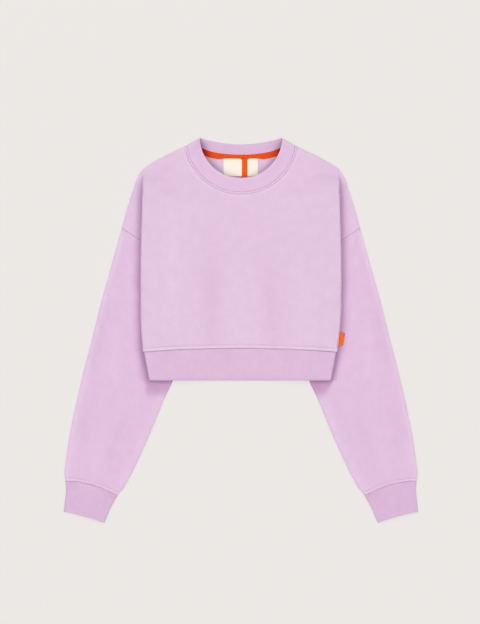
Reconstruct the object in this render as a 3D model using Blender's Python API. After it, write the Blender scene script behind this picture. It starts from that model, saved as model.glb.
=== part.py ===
"""A cropped crew-neck sweatshirt that lies flat on its back, front side up.

Metres, +Z up, +Y towards the neck.  The origin is on the floor under the middle of
the garment.  The sleeves are turned down and lie behind the body, so each shoulder
has one deep pleat: the body folds under itself, runs back inwards, and comes out
again as the dropped shoulder.

Front and back lie on each other.  Both are made from one surface, half way between
them: its points are moved up for the front and down for the back.
"""
import math
from collections import Counter, namedtuple

import bpy
import numpy as np

MM = 0.001

# Cloth
CLOTH = 1.6 * MM                # wall of the brushed fleece and of the rib
LAYER_GAP = 0.4 * MM            # between two layers that lie on each other
SEAM_GAP = 0.3 * MM             # between pieces that are sewn edge to edge
TRIM = 1.0 * MM                 # wall of the tape, the label and its ribbon
LAYER = (CLOTH + LAYER_GAP) / 2     # from the doubled cloth's middle to one layer's
REACH = LAYER + CLOTH / 2           # from the doubled cloth's middle to its outside
FLOOR_LEVEL = REACH                 # height of that middle where it lies on the floor

# Neckline
NECK_CENTRE_Y = 385.0 * MM      # centre of the round front neckline
NECK_SEAM_RADIUS = 109.4 * MM
NECK_EDGE_RADIUS = 81.5 * MM
NECK_SEAM_END = (108.4 * MM, 370.4 * MM)    # where the neck seam meets the shoulder
NECK_EDGE_END = (81.5 * MM, 384.6 * MM)     # top of the neckband, at its fold
BACK_SEAM_DROP = 24.4 * MM      # how far the back neck seam dips below its ends
BACK_EDGE_DROP = 13.6 * MM      # the same for the top edge of the band

# Loft: how far the front stands off the back where nothing holds it down
BODY_LOFT = 3.0 * MM
SLEEVE_LOFT = 3.0 * MM
SHOULDER_HOLD = 28.0 * MM       # the loft starts from nothing over this width
HEM_HOLD = 180.0 * MM           # the same above the hem
HEM_LOOSE = 60.0 * MM           # of which this much lies beyond its edge
EDGE_HOLD = 42.0 * MM           # the same for a sleeve
EDGE_FLAT = 24.0 * MM           # the sleeve stays flat this far past the body's edge

# Shoulder pleat
PLEAT_BEND = 2.0 * MM           # radius of the doubled cloth in each bend
PLEAT_START_Y = 323.5 * MM      # on the shoulder line
PLEAT_FORMING = 40.0 * MM       # length over which it turns right under
UNDERARM_Y = 85.0 * MM          # where the side seam starts, on the body's edge
UNDERARM_BEHIND = (79.7 * MM, 98.0 * MM)    # inner end of the armhole seam
ARMHOLE_TOP = (237.8 * MM, 203.4 * MM)      # outer end of the armhole seam
CAP_START = 0.22                # share of the shoulder's outer edge above the pleat

# Body
HEM_SEAM_Y = -37.6 * MM         # in the middle; it drops towards the sides
HEM_SEAM_DROP = 7.0 * MM
HEM_EDGE_Y = -100.6 * MM
HEM_HALF = 181.6 * MM           # half the width of the band's lower edge

# How the body rides over what lies under it
RAMP_START = 18.0 * MM          # flat margin inside the edge of what lies under
FLAT_SHARE = 0.22               # share of the width inside it that lies on the floor
PLEAT_RUNOUT = 90.0 * MM        # the body comes down from the pleat over this length
UNDERARM_MARGIN = 3.0 * MM      # and starts to do so this far below the underarm
SEAM_STEP = 2.0 * MM            # over this length the fold gives way to the side seam

# Cuffs
CUFF_SEAM_BOW = 7.0 * MM
CUFF_EDGE_BOW = 2.0 * MM

# Trims
TAPE_WIDTH = 9.6 * MM
TAPE_HALF = 82.0 * MM
LABEL_WIDTH = 69.2 * MM
LABEL_MIDDLE_X = -0.6 * MM
LABEL_BOTTOM_Y = 297.0 * MM
STRIP_WIDTH = 10.6 * MM
STRIP_MIDDLE_X = 7.3 * MM
STRIP_BOTTOM_Y = 300.0 * MM
TAB_TOP_Y = -6.6 * MM
TAB_LENGTH = 24.8 * MM
TAB_OUT_TOP = 10.6 * MM
TAB_OUT_BOTTOM = 9.4 * MM

# How finely the pieces are divided
NECK_STEPS = 9                  # from the middle of the neckline to the shoulder
SHOULDER_STEPS = 4
BEND_STEPS = 5
CAP_STEPS = 3
EDGE_STEPS = 4
SLEEVE_ROWS = 12
SLEEVE_STEPS = 8
BAND_ROWS = 3
FORMING_ROWS = 5                # down the stretch where the pleat turns under
PLEAT_ROWS = 7                  # from there to the underarm
LOWER_ROWS = 7                  # from the underarm to the hem seam


def table(columns, *rows):
    """Rows of millimetres as named points in metres."""
    row_type = namedtuple("Row", columns)
    return [row_type(*(value * MM for value in row)) for row in rows]


# Shoulder line and outer edge of the dropped shoulder, neck to armhole seam
SHOULDER = table("x y", (109.1, 370.0), (131.0, 359.0), (154.0, 347.8), (176.5, 335.6),
                 (195.5, 323.5))
CAP_EDGE = table("x y", (195.5, 323.5), (202.8, 315.5), (210.5, 300.0), (215.8, 281.4),
                 (223.4, 256.5), (237.8, 203.4))

# The body's visible side edge, from the pleat down to the hem seam
BODY_EDGE = table("y x", (306.0, 197.2), (282.0, 198.6), (240.0, 200.2), (181.0, 201.2),
                  (79.0, 200.4), (30.0, 198.8), (-4.0, 197.0), (-44.6, 193.4))

# Both edges of the right sleeve, armhole seam to cuff seam
SLEEVE_OUTER = table("x y", (237.8, 203.4), (258.0, 131.0), (278.0, 59.4), (293.2, -0.6),
                     (328.0, -140.6), (344.0, -220.6), (349.8, -260.6), (352.8, -288.0),
                     (351.2, -302.0))
SLEEVE_INNER = table("x y", (79.7, 98.0), (106.0, -1.0), (135.4, -100.6), (154.4, -140.6),
                     (170.6, -180.6), (187.6, -220.6), (205.6, -260.6), (225.6, -300.6),
                     (235.0, -316.6), (247.0, -331.0))

# Both edges of the right cuff, seam to open edge
CUFF_OUTER = table("x y", (351.2, -302.0), (349.4, -318.0), (351.4, -340.0), (354.0, -363.6))
CUFF_INNER = table("x y", (247.0, -331.0), (261.4, -358.0), (273.0, -386.0))


# ---- curves and patches --------------------------------------------------------------

def smoothstep(value):
    value = min(max(value, 0.0), 1.0)
    return value * value * (3.0 - 2.0 * value)


def path(points):
    """A smooth plane curve through the points; it takes 0 to 1 along its length."""
    points = np.array([(point[0], point[1]) for point in points])
    knots = shares(points)
    slopes = np.gradient(points, knots, axis=0)

    def at(share):
        k = min(max(int(np.searchsorted(knots, share)) - 1, 0), len(knots) - 2)
        span = knots[k + 1] - knots[k]
        t = (share - knots[k]) / span
        return (points[k] * (1 + 2 * t) * (1 - t) ** 2 + slopes[k] * span * t * (1 - t) ** 2
                + points[k + 1] * t * t * (3 - 2 * t) + slopes[k + 1] * span * t * t * (t - 1))
    return at


def along(curve, steps):
    return np.array([curve(k / steps) for k in range(steps + 1)])


def x_at(rows, y):
    """x of a table's edge at a height, straight between its rows."""
    ordered = sorted(rows, key=lambda row: row.y)
    return float(np.interp(y, [row.y for row in ordered], [row.x for row in ordered]))


def bowed(start, end, bow, steps):
    """A shallow arc between two points, bowed towards +Y."""
    share = np.linspace(0.0, 1.0, steps + 1)[:, None]
    line = np.array(start) * (1 - share) + np.array(end) * share
    line[:, 1] += (4 * bow * share * (1 - share))[:, 0]
    return line


def shares(points):
    """How far along a row of points each lies, from 0 to 1."""
    lengths = np.cumsum(np.r_[0.0, np.linalg.norm(np.diff(points, axis=0), axis=1)])
    return lengths / lengths[-1]


def beside(start, end, edge):
    """A straight edge divided in the same shares as the edge opposite."""
    return start + (end - start) * shares(edge)[:, None]


def patch(top, bottom, left, right):
    """A grid between four edges: rows run top to bottom, columns left to right."""
    v = shares(right)[:, None, None]
    u = shares(bottom)[None, :, None]
    edges = (1 - v) * top[None] + v * bottom[None] + (1 - u) * left[:, None] + u * right[:, None]
    corners = ((1 - u) * (1 - v) * top[0] + u * (1 - v) * top[-1]
               + (1 - u) * v * bottom[0] + u * v * bottom[-1])
    return edges - corners


# ---- heights -------------------------------------------------------------------------

def pleat_turn(y):
    """How far the pleat has turned under at this height: 0 to half a turn."""
    return math.pi * smoothstep((PLEAT_START_Y - y) / PLEAT_FORMING)


def inner_fold(y):
    """x of the pleat's hidden inner fold, a straight line down to the underarm."""
    top_y = PLEAT_START_Y - PLEAT_FORMING
    top_x = x_at(BODY_EDGE, top_y) - PLEAT_BEND - REACH
    return float(np.interp(y, [UNDERARM_BEHIND[1], top_y], [UNDERARM_BEHIND[0], top_x]))


def ramp(x, y):
    """How far up the body is towards what lies under it: 0 on the floor, 1 on top."""
    under_edge = inner_fold(y) if y > UNDERARM_BEHIND[1] else x_at(SLEEVE_INNER, y)
    top = under_edge - RAMP_START
    return smoothstep((abs(x) - FLAT_SHARE * top) / (top - FLAT_SHARE * top))


def level(x, y):
    """Height of the doubled cloth's middle over the sleeves and the pleats."""
    over_pleat = 2 * PLEAT_BEND * (1 - math.cos(pleat_turn(y)))
    over_sleeve = 2 * REACH + LAYER_GAP
    below = smoothstep((UNDERARM_Y - UNDERARM_MARGIN - y) / PLEAT_RUNOUT)
    return FLOOR_LEVEL + ramp(x, y) * (over_pleat * (1 - below) + over_sleeve * below)


def body_loft(x, y):
    """How far the front stands off the back: most in the middle of the body."""
    along_shoulder = np.array(NECK_EDGE_END) - np.array(NECK_SEAM_END)
    along_shoulder /= np.linalg.norm(along_shoulder)
    below_shoulder = (np.array([abs(x), y]) - NECK_SEAM_END) @ (-along_shoulder[1],
                                                                along_shoulder[0])
    held = smoothstep(below_shoulder / SHOULDER_HOLD)
    held *= smoothstep((y - HEM_EDGE_Y + HEM_LOOSE) / HEM_HOLD)
    return BODY_LOFT * held * (1 - ramp(x, y))


def sleeve_loft(x, y):
    """The same for a sleeve, which is pressed flat only where the body lies on it."""
    beside_body = abs(x) - x_at(BODY_EDGE, max(y, BODY_EDGE[-1].y))
    clear = max(beside_body, HEM_EDGE_Y - y)
    return SLEEVE_LOFT * smoothstep((clear - EDGE_FLAT) / EDGE_HOLD)


# ---- walls of cloth ------------------------------------------------------------------

def grid_normals(grid):
    """Unit normals of a grid of points, up where its rows run down and columns right."""
    down = np.gradient(grid, axis=0)
    across = np.gradient(grid, axis=1)
    normals = np.cross(down, across)
    return normals / np.linalg.norm(normals, axis=2, keepdims=True)


def grid_faces(index):
    """Two triangles for each cell of a grid of point numbers."""
    faces = []
    for upper, lower in zip(index[:-1], index[1:]):
        for a, b, c, d in zip(upper[:-1], lower[:-1], lower[1:], upper[1:]):
            faces += [(a, b, c), (a, c, d)]
    return [face for face in faces if len(set(face)) == 3]


def srgb(red, green, blue):
    channels = (red / 255, green / 255, blue / 255)
    return [c / 12.92 if c < 0.04045 else ((c + 0.055) / 1.055) ** 2.4 for c in channels]


def finish(name, colour, roughness):
    material = bpy.data.materials.new(name)
    material.use_nodes = True
    shader = material.node_tree.nodes["Principled BSDF"]
    shader.inputs["Base Color"].default_value = (*srgb(*colour), 1.0)
    shader.inputs["Roughness"].default_value = roughness
    shader.inputs["Metallic"].default_value = 0.0
    return material


def wall(name, points, normals, faces, thickness, material):
    """A closed wall round a sheet of triangles, half its thickness to each side."""
    points = np.array(points)
    shift = np.array(normals) * thickness / 2
    count = len(points)
    edges = Counter()
    for a, b, c in faces:
        edges.update([(a, b), (b, c), (c, a)])
    rim = [edge for edge in edges if (edge[1], edge[0]) not in edges]
    solid = [tuple(face) for face in faces]
    solid += [(c + count, b + count, a + count) for a, b, c in faces]
    for a, b in rim:
        solid += [(b, a, a + count), (b, a + count, b + count)]
    mesh = bpy.data.meshes.new(name)
    mesh.from_pydata(np.concatenate([points + shift, points - shift]).tolist(), [], solid)
    mesh.materials.append(material)
    mesh.shade_smooth()
    mesh.set_sharp_from_angle(angle=math.radians(50))
    piece = bpy.data.objects.new(name, mesh)
    bpy.context.collection.objects.link(piece)
    return piece


def flattened_tube(name, front, back, left_out, right_out, material):
    """A tube pressed flat: front and back grids, joined by half a circle at each side."""
    def side(start, end, out):
        middle = (start + end) / 2
        radius = np.linalg.norm(start - middle, axis=1, keepdims=True)
        turns = [math.pi * k / EDGE_STEPS for k in range(1, EDGE_STEPS)]
        return [middle + (start - middle) * math.cos(a) + out * radius * math.sin(a)
                for a in turns]

    columns = [front[:, k] for k in range(front.shape[1])]
    columns += side(front[:, -1], back[:, -1], right_out)
    columns += [back[:, k] for k in reversed(range(back.shape[1]))]
    columns += side(back[:, 0], front[:, 0], left_out)
    grid = np.stack(columns, axis=1)
    looped = np.concatenate([grid[:, -1:], grid, grid[:, :1]], axis=1)
    normals = grid_normals(looped)[:, 1:-1]
    rows, ring = grid.shape[:2]
    index = np.arange(rows * ring).reshape(rows, ring)
    index = np.concatenate([index, index[:, :1]], axis=1)
    return wall(name, grid.reshape(-1, 3), normals.reshape(-1, 3), grid_faces(index),
                CLOTH, material)


def level_grid(plan, height):
    """Plane points with a height for each."""
    heights = np.array([[height(x, y) for x, y in row] for row in plan])
    return np.concatenate([plan, heights[:, :, None]], axis=2)


def tube_on(name, plan, height, loft, material):
    """A flattened tube over a plane grid whose first and last columns are its edges."""
    across = plan[:, -1] - plan[:, 0]
    across /= np.linalg.norm(across, axis=1, keepdims=True)
    plan = plan.copy()
    share = np.linspace(0.0, 1.0, plan.shape[1])[None, :, None]
    plan += across[:, None] * REACH * (1 - 2 * share)
    out = np.concatenate([across, np.zeros((len(across), 1))], axis=1)
    front = level_grid(plan, lambda x, y: height(x, y) + LAYER)
    lofts = level_grid(plan, loft)[:, :, 2]
    front[:, :, 2] += lofts * np.sqrt(4 * share * (1 - share))[:, :, 0]
    back = level_grid(plan, lambda x, y: height(x, y) - LAYER)
    return flattened_tube(name, front, back, -out, out, material)


# ---- body ----------------------------------------------------------------------------

def body_edge_x(y):
    """x where the body's flat part ends: inside the pleat's bend, or at the side seam."""
    if y >= UNDERARM_Y:
        formed = math.sin(min(pleat_turn(y), math.pi / 2))
        return x_at(BODY_EDGE + [SHOULDER[-1]], y) - formed * (PLEAT_BEND + REACH)
    return x_at(BODY_EDGE, y)


def neck_seam_front():
    end = math.atan2(NECK_SEAM_END[1] - NECK_CENTRE_Y, NECK_SEAM_END[0])
    angles = np.linspace(-math.pi / 2, end, NECK_STEPS + 1)
    radius = NECK_SEAM_RADIUS + SEAM_GAP / 2
    seam = np.stack([radius * np.cos(angles), NECK_CENTRE_Y + radius * np.sin(angles)], axis=1)
    seam[-1] = SHOULDER[0]
    return seam


def neck_seam_back():
    across = np.linspace(0.0, 1.0, NECK_STEPS + 1)
    drop = BACK_SEAM_DROP * (1 - across ** 2)
    seam = np.stack([NECK_SEAM_END[0] * across, NECK_SEAM_END[1] - drop - SEAM_GAP / 2], axis=1)
    seam[-1] = SHOULDER[0]
    return seam


def hem_seam(x):
    return HEM_SEAM_Y - HEM_SEAM_DROP * (x / BODY_EDGE[-1].x) ** 2


def body_plan(neck_seam):
    """Plane points of the right half of the flat body, and its number of pleat rows.

    Below the second row under the pleat's forming stretch, front and back share them.
    """
    top = np.concatenate([neck_seam, along(path(SHOULDER), SHOULDER_STEPS)[1:]])
    steps = len(top) - 1
    formed_y = PLEAT_START_Y - PLEAT_FORMING
    row_y = np.r_[np.linspace(PLEAT_START_Y, formed_y, FORMING_ROWS + 1),
                  np.linspace(formed_y, UNDERARM_Y, PLEAT_ROWS + 1)[1:]]
    right = np.array([(body_edge_x(y), y) for y in row_y])
    right[0] = top[-1]
    yoke_row = FORMING_ROWS + 1
    yoke = np.linspace((0.0, row_y[yoke_row]), right[yoke_row], steps + 1)
    upper = patch(top, yoke, beside(top[0], yoke[0], right[:yoke_row + 1]),
                  right[:yoke_row + 1])

    hem_y = hem_seam(BODY_EDGE[-1].x) + SEAM_GAP / 2
    lower_y = np.linspace(UNDERARM_Y - SEAM_STEP, hem_y, LOWER_ROWS)
    right = np.concatenate([right[yoke_row:], [(body_edge_x(y), y) for y in lower_y]])
    hem_x = np.linspace(0.0, right[-1][0], steps + 1)
    hem = np.array([(x, hem_seam(x) + SEAM_GAP / 2) for x in hem_x])
    lower = patch(yoke, hem, beside(yoke[0], hem[0], right), right)
    return np.concatenate([upper, lower[1:]]), len(row_y)


def pleat_row(start, cap_end):
    """Points and normals from the body's edge, under it and out again to the cap's edge."""
    y = start[1]
    turn = pleat_turn(y)
    out = np.array([1.0, 0.0, 0.0])
    top_y = PLEAT_START_Y - PLEAT_FORMING
    fold_top = np.array([inner_fold(top_y), top_y])
    fold_end = np.array(UNDERARM_BEHIND)
    share = max(0.0, (top_y - y) / (top_y - UNDERARM_Y))
    fold = fold_top + (fold_end - fold_top) * share
    run = (fold_end - fold_top) / np.linalg.norm(fold_end - fold_top)
    square = np.array([-run[1], run[0], 0.0])
    square = out + (square - out) * smoothstep(turn / math.pi)
    square /= np.linalg.norm(square)
    up = np.array([0.0, 0.0, 1.0])
    bends = [turn * k / BEND_STEPS for k in range(1, BEND_STEPS + 1)]

    points = [start + PLEAT_BEND * (math.sin(a) * out - (1 - math.cos(a)) * up) for a in bends]
    normals = [math.sin(a) * out + math.cos(a) * up for a in bends]
    inner = points[-1].copy()
    if share > 0:
        inner[:2] = fold
    points.append(inner)
    normals.append(normals[-1])
    for a in reversed([0.0] + bends[:-1]):
        points.append(inner + PLEAT_BEND * ((math.sin(turn) - math.sin(a)) * square
                                            + (math.cos(turn) - math.cos(a)) * up))
        normals.append(math.sin(a) * square + math.cos(a) * up)
    cap_start = points[-1]
    end = np.array([*cap_end, cap_start[2]])
    for k in range(1, CAP_STEPS + 1):
        points.append(cap_start + (end - cap_start) * k / CAP_STEPS)
        normals.append(up)
    return points, normals


def body_sheet(neck_seam):
    """The doubled cloth's middle for the whole body: points, normals and triangles."""
    plan, pleat_rows = body_plan(neck_seam)
    flat = level_grid(plan, level)
    flat_normals = grid_normals(flat)
    cap_edge = path(CAP_EDGE)
    depth = PLEAT_START_Y - UNDERARM_Y
    points, normals, index = [], [], {}

    def add(point, normal):
        points.append(point)
        normals.append(normal)
        return len(points) - 1

    for side in (1, -1):
        mirror = np.array([side, 1.0, 1.0])
        body, pleat = [], []
        for j, (row, row_normals) in enumerate(zip(flat, flat_normals)):
            numbers = []
            if j < pleat_rows:
                row_normals[-1] = (0.0, 0.0, 1.0)
            for i, (point, normal) in enumerate(zip(row, row_normals)):
                if i == 0 and (0, j) in index:
                    numbers.append(index[0, j])
                    continue
                numbers.append(add(point * mirror, normal * mirror))
                if i == 0:
                    index[0, j] = numbers[0]
            body.append(numbers)
            if j >= pleat_rows:
                continue
            share = CAP_START + (1 - CAP_START) * (PLEAT_START_Y - row[-1][1]) / depth
            cap_end = cap_edge(min(share, 1.0))
            side_points, side_normals = pleat_row(row[-1], cap_end)
            merged = 2 * BEND_STEPS + 1 if j == 0 else 0
            pleat.append([numbers[-1]] * (merged + 1)
                         + [add(p * mirror, n * mirror)
                            for p, n in zip(side_points[merged:], side_normals[merged:])])
        index[side] = (body, pleat)

    faces = []
    for side in (1, -1):
        for block in index[side]:
            faces += [face[::side] for face in grid_faces(block)]
    return np.array(points), np.array(normals), faces


def panel(name, neck_seam, layer, loft, material):
    points, normals, faces = body_sheet(neck_seam)
    points = points + normals * layer
    points[:, 2] += [loft(x, y) for x, y, _ in points]
    return wall(name, points, normals, faces, CLOTH, material)


# ---- sleeves, cuffs, hem and neck ----------------------------------------------------

def mirrored(plan, side):
    """The plan as it is on the right, or mirrored with its columns turned round."""
    return plan if side > 0 else (plan * np.array([-1.0, 1.0]))[:, ::-1]


def on_floor(x, y):
    return FLOOR_LEVEL


def cuff_seam(shift):
    seam = bowed(SLEEVE_INNER[-1], SLEEVE_OUTER[-1], CUFF_SEAM_BOW, SLEEVE_STEPS)
    return seam + np.array([0.0, shift])


def sleeve(name, side, material):
    """From the armhole seam to the cuff seam; inner edge first in each row."""
    top = np.linspace(UNDERARM_BEHIND, ARMHOLE_TOP, SLEEVE_STEPS + 1)
    slope = (top[-1] - top[0]) / np.linalg.norm(top[-1] - top[0])
    top += np.array([slope[1], -slope[0]]) * SEAM_GAP
    bottom = cuff_seam(SEAM_GAP / 2)
    left = along(path(SLEEVE_INNER), SLEEVE_ROWS)
    right = along(path(SLEEVE_OUTER), SLEEVE_ROWS)
    left[0], right[0] = top[0], top[-1]
    left[-1], right[-1] = bottom[0], bottom[-1]
    plan = patch(top, bottom, left, right)
    return tube_on(name, mirrored(plan, side), on_floor, sleeve_loft, material)


def cuff(name, side, material):
    top = cuff_seam(-SEAM_GAP / 2)
    bottom = bowed(CUFF_INNER[-1], CUFF_OUTER[-1], CUFF_EDGE_BOW, SLEEVE_STEPS)
    left = along(path(CUFF_INNER), BAND_ROWS)
    right = along(path(CUFF_OUTER), BAND_ROWS)
    left[0], right[0] = top[0], top[-1]
    plan = patch(top, bottom, left, right)
    return tube_on(name, mirrored(plan, side), on_floor, sleeve_loft, material)


def hem_band(name, material):
    steps = 2 * (NECK_STEPS + SHOULDER_STEPS)
    top_x = np.linspace(-BODY_EDGE[-1].x, BODY_EDGE[-1].x, steps + 1)
    top = np.array([(x, hem_seam(x) - SEAM_GAP / 2) for x in top_x])
    bottom = np.linspace((-HEM_HALF, HEM_EDGE_Y), (HEM_HALF, HEM_EDGE_Y), steps + 1)
    left = np.linspace(top[0], bottom[0], BAND_ROWS + 1)
    right = np.linspace(top[-1], bottom[-1], BAND_ROWS + 1)
    return tube_on(name, patch(top, bottom, left, right), level, body_loft, material)


def neckband(name, material):
    """A closed strip: the front half lies over the back half, folded at the shoulders."""
    edge_end, seam_end = np.array(NECK_EDGE_END), np.array(NECK_SEAM_END)
    fold = (seam_end - edge_end) / np.linalg.norm(seam_end - edge_end)
    out = np.array([-fold[1], fold[0]])
    centre = np.array([0.0, NECK_CENTRE_Y])
    front_plan, back_plan = [], []
    for share in np.linspace(0.0, 1.0, BAND_ROWS + 1):
        end = edge_end + (seam_end - edge_end) * share
        radius = NECK_EDGE_RADIUS + (NECK_SEAM_RADIUS - NECK_EDGE_RADIUS) * share
        radius -= SEAM_GAP / 2 * share
        to_fold = (end - centre) @ out - REACH
        turn = math.atan2(out[1], out[0]) - math.acos(to_fold / radius)
        angles = np.linspace(-math.pi - turn, turn, 2 * NECK_STEPS + 1)
        front_plan.append(centre + radius * np.stack([np.cos(angles), np.sin(angles)], axis=1))
        drop = BACK_EDGE_DROP + (BACK_SEAM_DROP - BACK_EDGE_DROP) * share
        reach = 1 - REACH / (out @ (end[0], 2 * drop))
        across = np.linspace(-reach, reach, 2 * NECK_STEPS + 1)
        back = np.stack([end[0] * across, end[1] - drop * (1 - across ** 2)], axis=1)
        back[:, 1] += SEAM_GAP / 2 * share
        back_plan.append(back)
    front = level_grid(np.array(front_plan), lambda x, y: level(x, y) + LAYER + body_loft(x, y))
    back = level_grid(np.array(back_plan), lambda x, y: level(x, y) - LAYER)
    right_out = np.array([*out, 0.0])
    return flattened_tube(name, front, back, right_out * (-1, 1, 1), right_out, material)


# ---- trims ---------------------------------------------------------------------------

def lying(name, plan, layers_below, thickness, material):
    """A flat trim on the inside of the back, above so many other trims."""
    top_of_back = level(0.0, LABEL_BOTTOM_Y) - LAYER + CLOTH / 2
    height = top_of_back + SEAM_GAP + layers_below * (TRIM + SEAM_GAP) + thickness / 2
    grid = level_grid(plan, lambda x, y: height)
    rows, columns = grid.shape[:2]
    index = np.arange(rows * columns).reshape(rows, columns)
    return wall(name, grid.reshape(-1, 3), grid_normals(grid).reshape(-1, 3),
                grid_faces(index), thickness, material)


def back_seam_y(x):
    return NECK_SEAM_END[1] - BACK_SEAM_DROP * (1 - (x / NECK_SEAM_END[0]) ** 2)


def neck_tape(name, material):
    x = np.linspace(-TAPE_HALF, TAPE_HALF, 2 * NECK_STEPS + 1)
    middle = np.stack([x, [back_seam_y(value) for value in x]], axis=1)
    run = np.gradient(middle, axis=0)
    square = np.stack([-run[:, 1], run[:, 0]], axis=1)
    square /= np.linalg.norm(square, axis=1, keepdims=True)
    plan = np.stack([middle + square * TAPE_WIDTH * share for share in (0.5, 0.0, -0.5)])
    return lying(name, plan, 0, TRIM, material)


def below_tape(middle_x, width, bottom_y, rows, columns):
    """A rectangle whose top edge follows the lower edge of the tape."""
    x = np.linspace(middle_x - width / 2, middle_x + width / 2, columns + 1)
    top = np.array([(value, back_seam_y(value) - TAPE_WIDTH / 2 - SEAM_GAP) for value in x])
    bottom = np.stack([x, np.full(len(x), bottom_y)], axis=1)
    shares = np.linspace(0.0, 1.0, rows + 1)[:, None, None]
    return top[None] * (1 - shares) + bottom[None] * shares


def side_tab(name, material):
    """A folded tab that sticks out of the right side seam, above the hem seam."""
    rows = []
    for share in (0.0, 0.5, 1.0):
        y = TAB_TOP_Y - TAB_LENGTH * share
        start = x_at(BODY_EDGE, y) + SEAM_GAP
        reach = TAB_OUT_TOP + (TAB_OUT_BOTTOM - TAB_OUT_TOP) * share
        rows.append([(start + reach * k / 2, y) for k in range(3)])
    grid = level_grid(np.array(rows), lambda x, y: level(BODY_EDGE[-1].x, y))
    index = np.arange(9).reshape(3, 3)
    return wall(name, grid.reshape(-1, 3), grid_normals(grid).reshape(-1, 3),
                grid_faces(index), CLOTH, material)


def main():
    for leftover in list(bpy.data.objects):
        bpy.data.objects.remove(leftover, do_unlink=True)

    fleece = finish("lilac_fleece", (230, 200, 226), 0.9)
    rib = finish("lilac_rib", (222, 189, 218), 0.85)
    orange = finish("orange_tape", (245, 88, 22), 0.6)
    cream = finish("cream_label", (249, 240, 226), 0.6)

    panel("front_panel", neck_seam_front(), LAYER, body_loft, fleece)
    panel("back_panel", neck_seam_back(), -LAYER, lambda x, y: 0.0, fleece)
    for side, wearers in ((1, "left"), (-1, "right")):
        sleeve(wearers + "_sleeve", side, fleece)
        cuff(wearers + "_cuff", side, rib)
    hem_band("hem_band", rib)
    neckband("neckband", rib)
    neck_tape("neck_tape", orange)
    lying("label", below_tape(LABEL_MIDDLE_X, LABEL_WIDTH, LABEL_BOTTOM_Y, 3, 6), 0, TRIM, cream)
    lying("label_strip", below_tape(STRIP_MIDDLE_X, STRIP_WIDTH, STRIP_BOTTOM_Y, 3, 2), 1,
          TRIM, orange)
    side_tab("side_tab", orange)


main()
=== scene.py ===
"""Looks of a cropped crew-neck sweatshirt that lies flat on its back, front side up.

Metres, +Z up, +Y towards the neck, +X towards the wearer's left, the floor at z = 0.  Left
and right are the wearer's, apart from the columns of a grid.  Every cloth piece is a closed
shell with an outer and an inner face, both worked out from the middle of the doubled
cloth: front and back lie on each other, half a layer to each side of it.  The frame's
solids hold the same form more coarsely, and each cloth piece here stands for one.
"""

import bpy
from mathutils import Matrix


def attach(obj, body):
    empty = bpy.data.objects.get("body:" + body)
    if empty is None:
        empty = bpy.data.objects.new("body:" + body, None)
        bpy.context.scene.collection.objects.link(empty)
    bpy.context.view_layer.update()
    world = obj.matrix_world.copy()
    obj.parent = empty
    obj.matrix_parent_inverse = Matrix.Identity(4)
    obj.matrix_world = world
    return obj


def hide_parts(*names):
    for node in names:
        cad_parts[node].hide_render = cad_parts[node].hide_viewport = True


bl_info = {
    "name": "Cropped sweatshirt, laid flat",
    "version": (1, 0, 0),
    "blender": (4, 5, 0),
    "location": "3D View > Sidebar > Sweatshirt",
    "description": "Cloth, seams, stitches and trims of a cropped sweatshirt that lies flat",
    "category": "Add Mesh",
}

import math
from collections import Counter, namedtuple

import bpy
import mathutils
import numpy as np
from bpy.props import FloatProperty, FloatVectorProperty, PointerProperty

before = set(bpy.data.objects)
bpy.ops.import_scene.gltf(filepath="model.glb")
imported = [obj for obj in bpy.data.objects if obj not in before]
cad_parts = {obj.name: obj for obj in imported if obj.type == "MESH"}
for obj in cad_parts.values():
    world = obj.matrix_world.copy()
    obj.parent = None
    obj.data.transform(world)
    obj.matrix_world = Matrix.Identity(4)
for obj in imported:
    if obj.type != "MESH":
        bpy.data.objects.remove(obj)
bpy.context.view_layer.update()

MM = 0.001
UP = np.array([0.0, 0.0, 1.0])
Onset = namedtuple("Onset", "start over")       # where something sets in, and over what length

# Cloth
CLOTH = 1.6 * MM                # wall of the brushed fleece and of the rib
LAYER_GAP = 0.4 * MM            # between two layers that lie on each other
SEAM_GAP = 0.1 * MM             # at the bottom of the groove between two sewn pieces
INSIDE = LAYER_GAP / 2          # from the doubled cloth's middle to a layer's inner face
REACH = INSIDE + CLOTH          # and to its outer face
MIDDLE = (INSIDE + REACH) / 2
FLOOR_LEVEL = REACH             # height of the doubled cloth's middle on the floor
SEAM_CLOSED = 0.04 * MM         # what is left of INSIDE where front and back are joined
SEAM_ROLL = 0.14 * MM           # what is left of REACH there, on the rolled edge

# Neckline
NECK_CENTRE_Y = 385.0 * MM
NECK_SEAM_RADIUS = 109.4 * MM
NECK_EDGE_RADIUS = 81.5 * MM
NECK_SEAM_END = (108.1 * MM, 368.2 * MM)
NECK_EDGE_END = (81.4 * MM, 383.3 * MM)
BACK_SEAM_DROP = 22.2 * MM
BACK_EDGE_DROP = 13.0 * MM

# Loft: how far the front stands off the back where nothing holds it down
BODY_LOFT = 3.0 * MM
SLEEVE_LOFT = 3.0 * MM
SHOULDER_HOLD = 28.0 * MM       # the loft starts from nothing over this width
HEM_HOLD = 180.0 * MM           # the same above the hem
HEM_LOOSE = 60.0 * MM           # of which this much lies beyond its edge
EDGE_HOLD = 42.0 * MM           # the same for a sleeve
EDGE_FLAT = 24.0 * MM           # the sleeve stays flat this far past the body's edge

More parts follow.
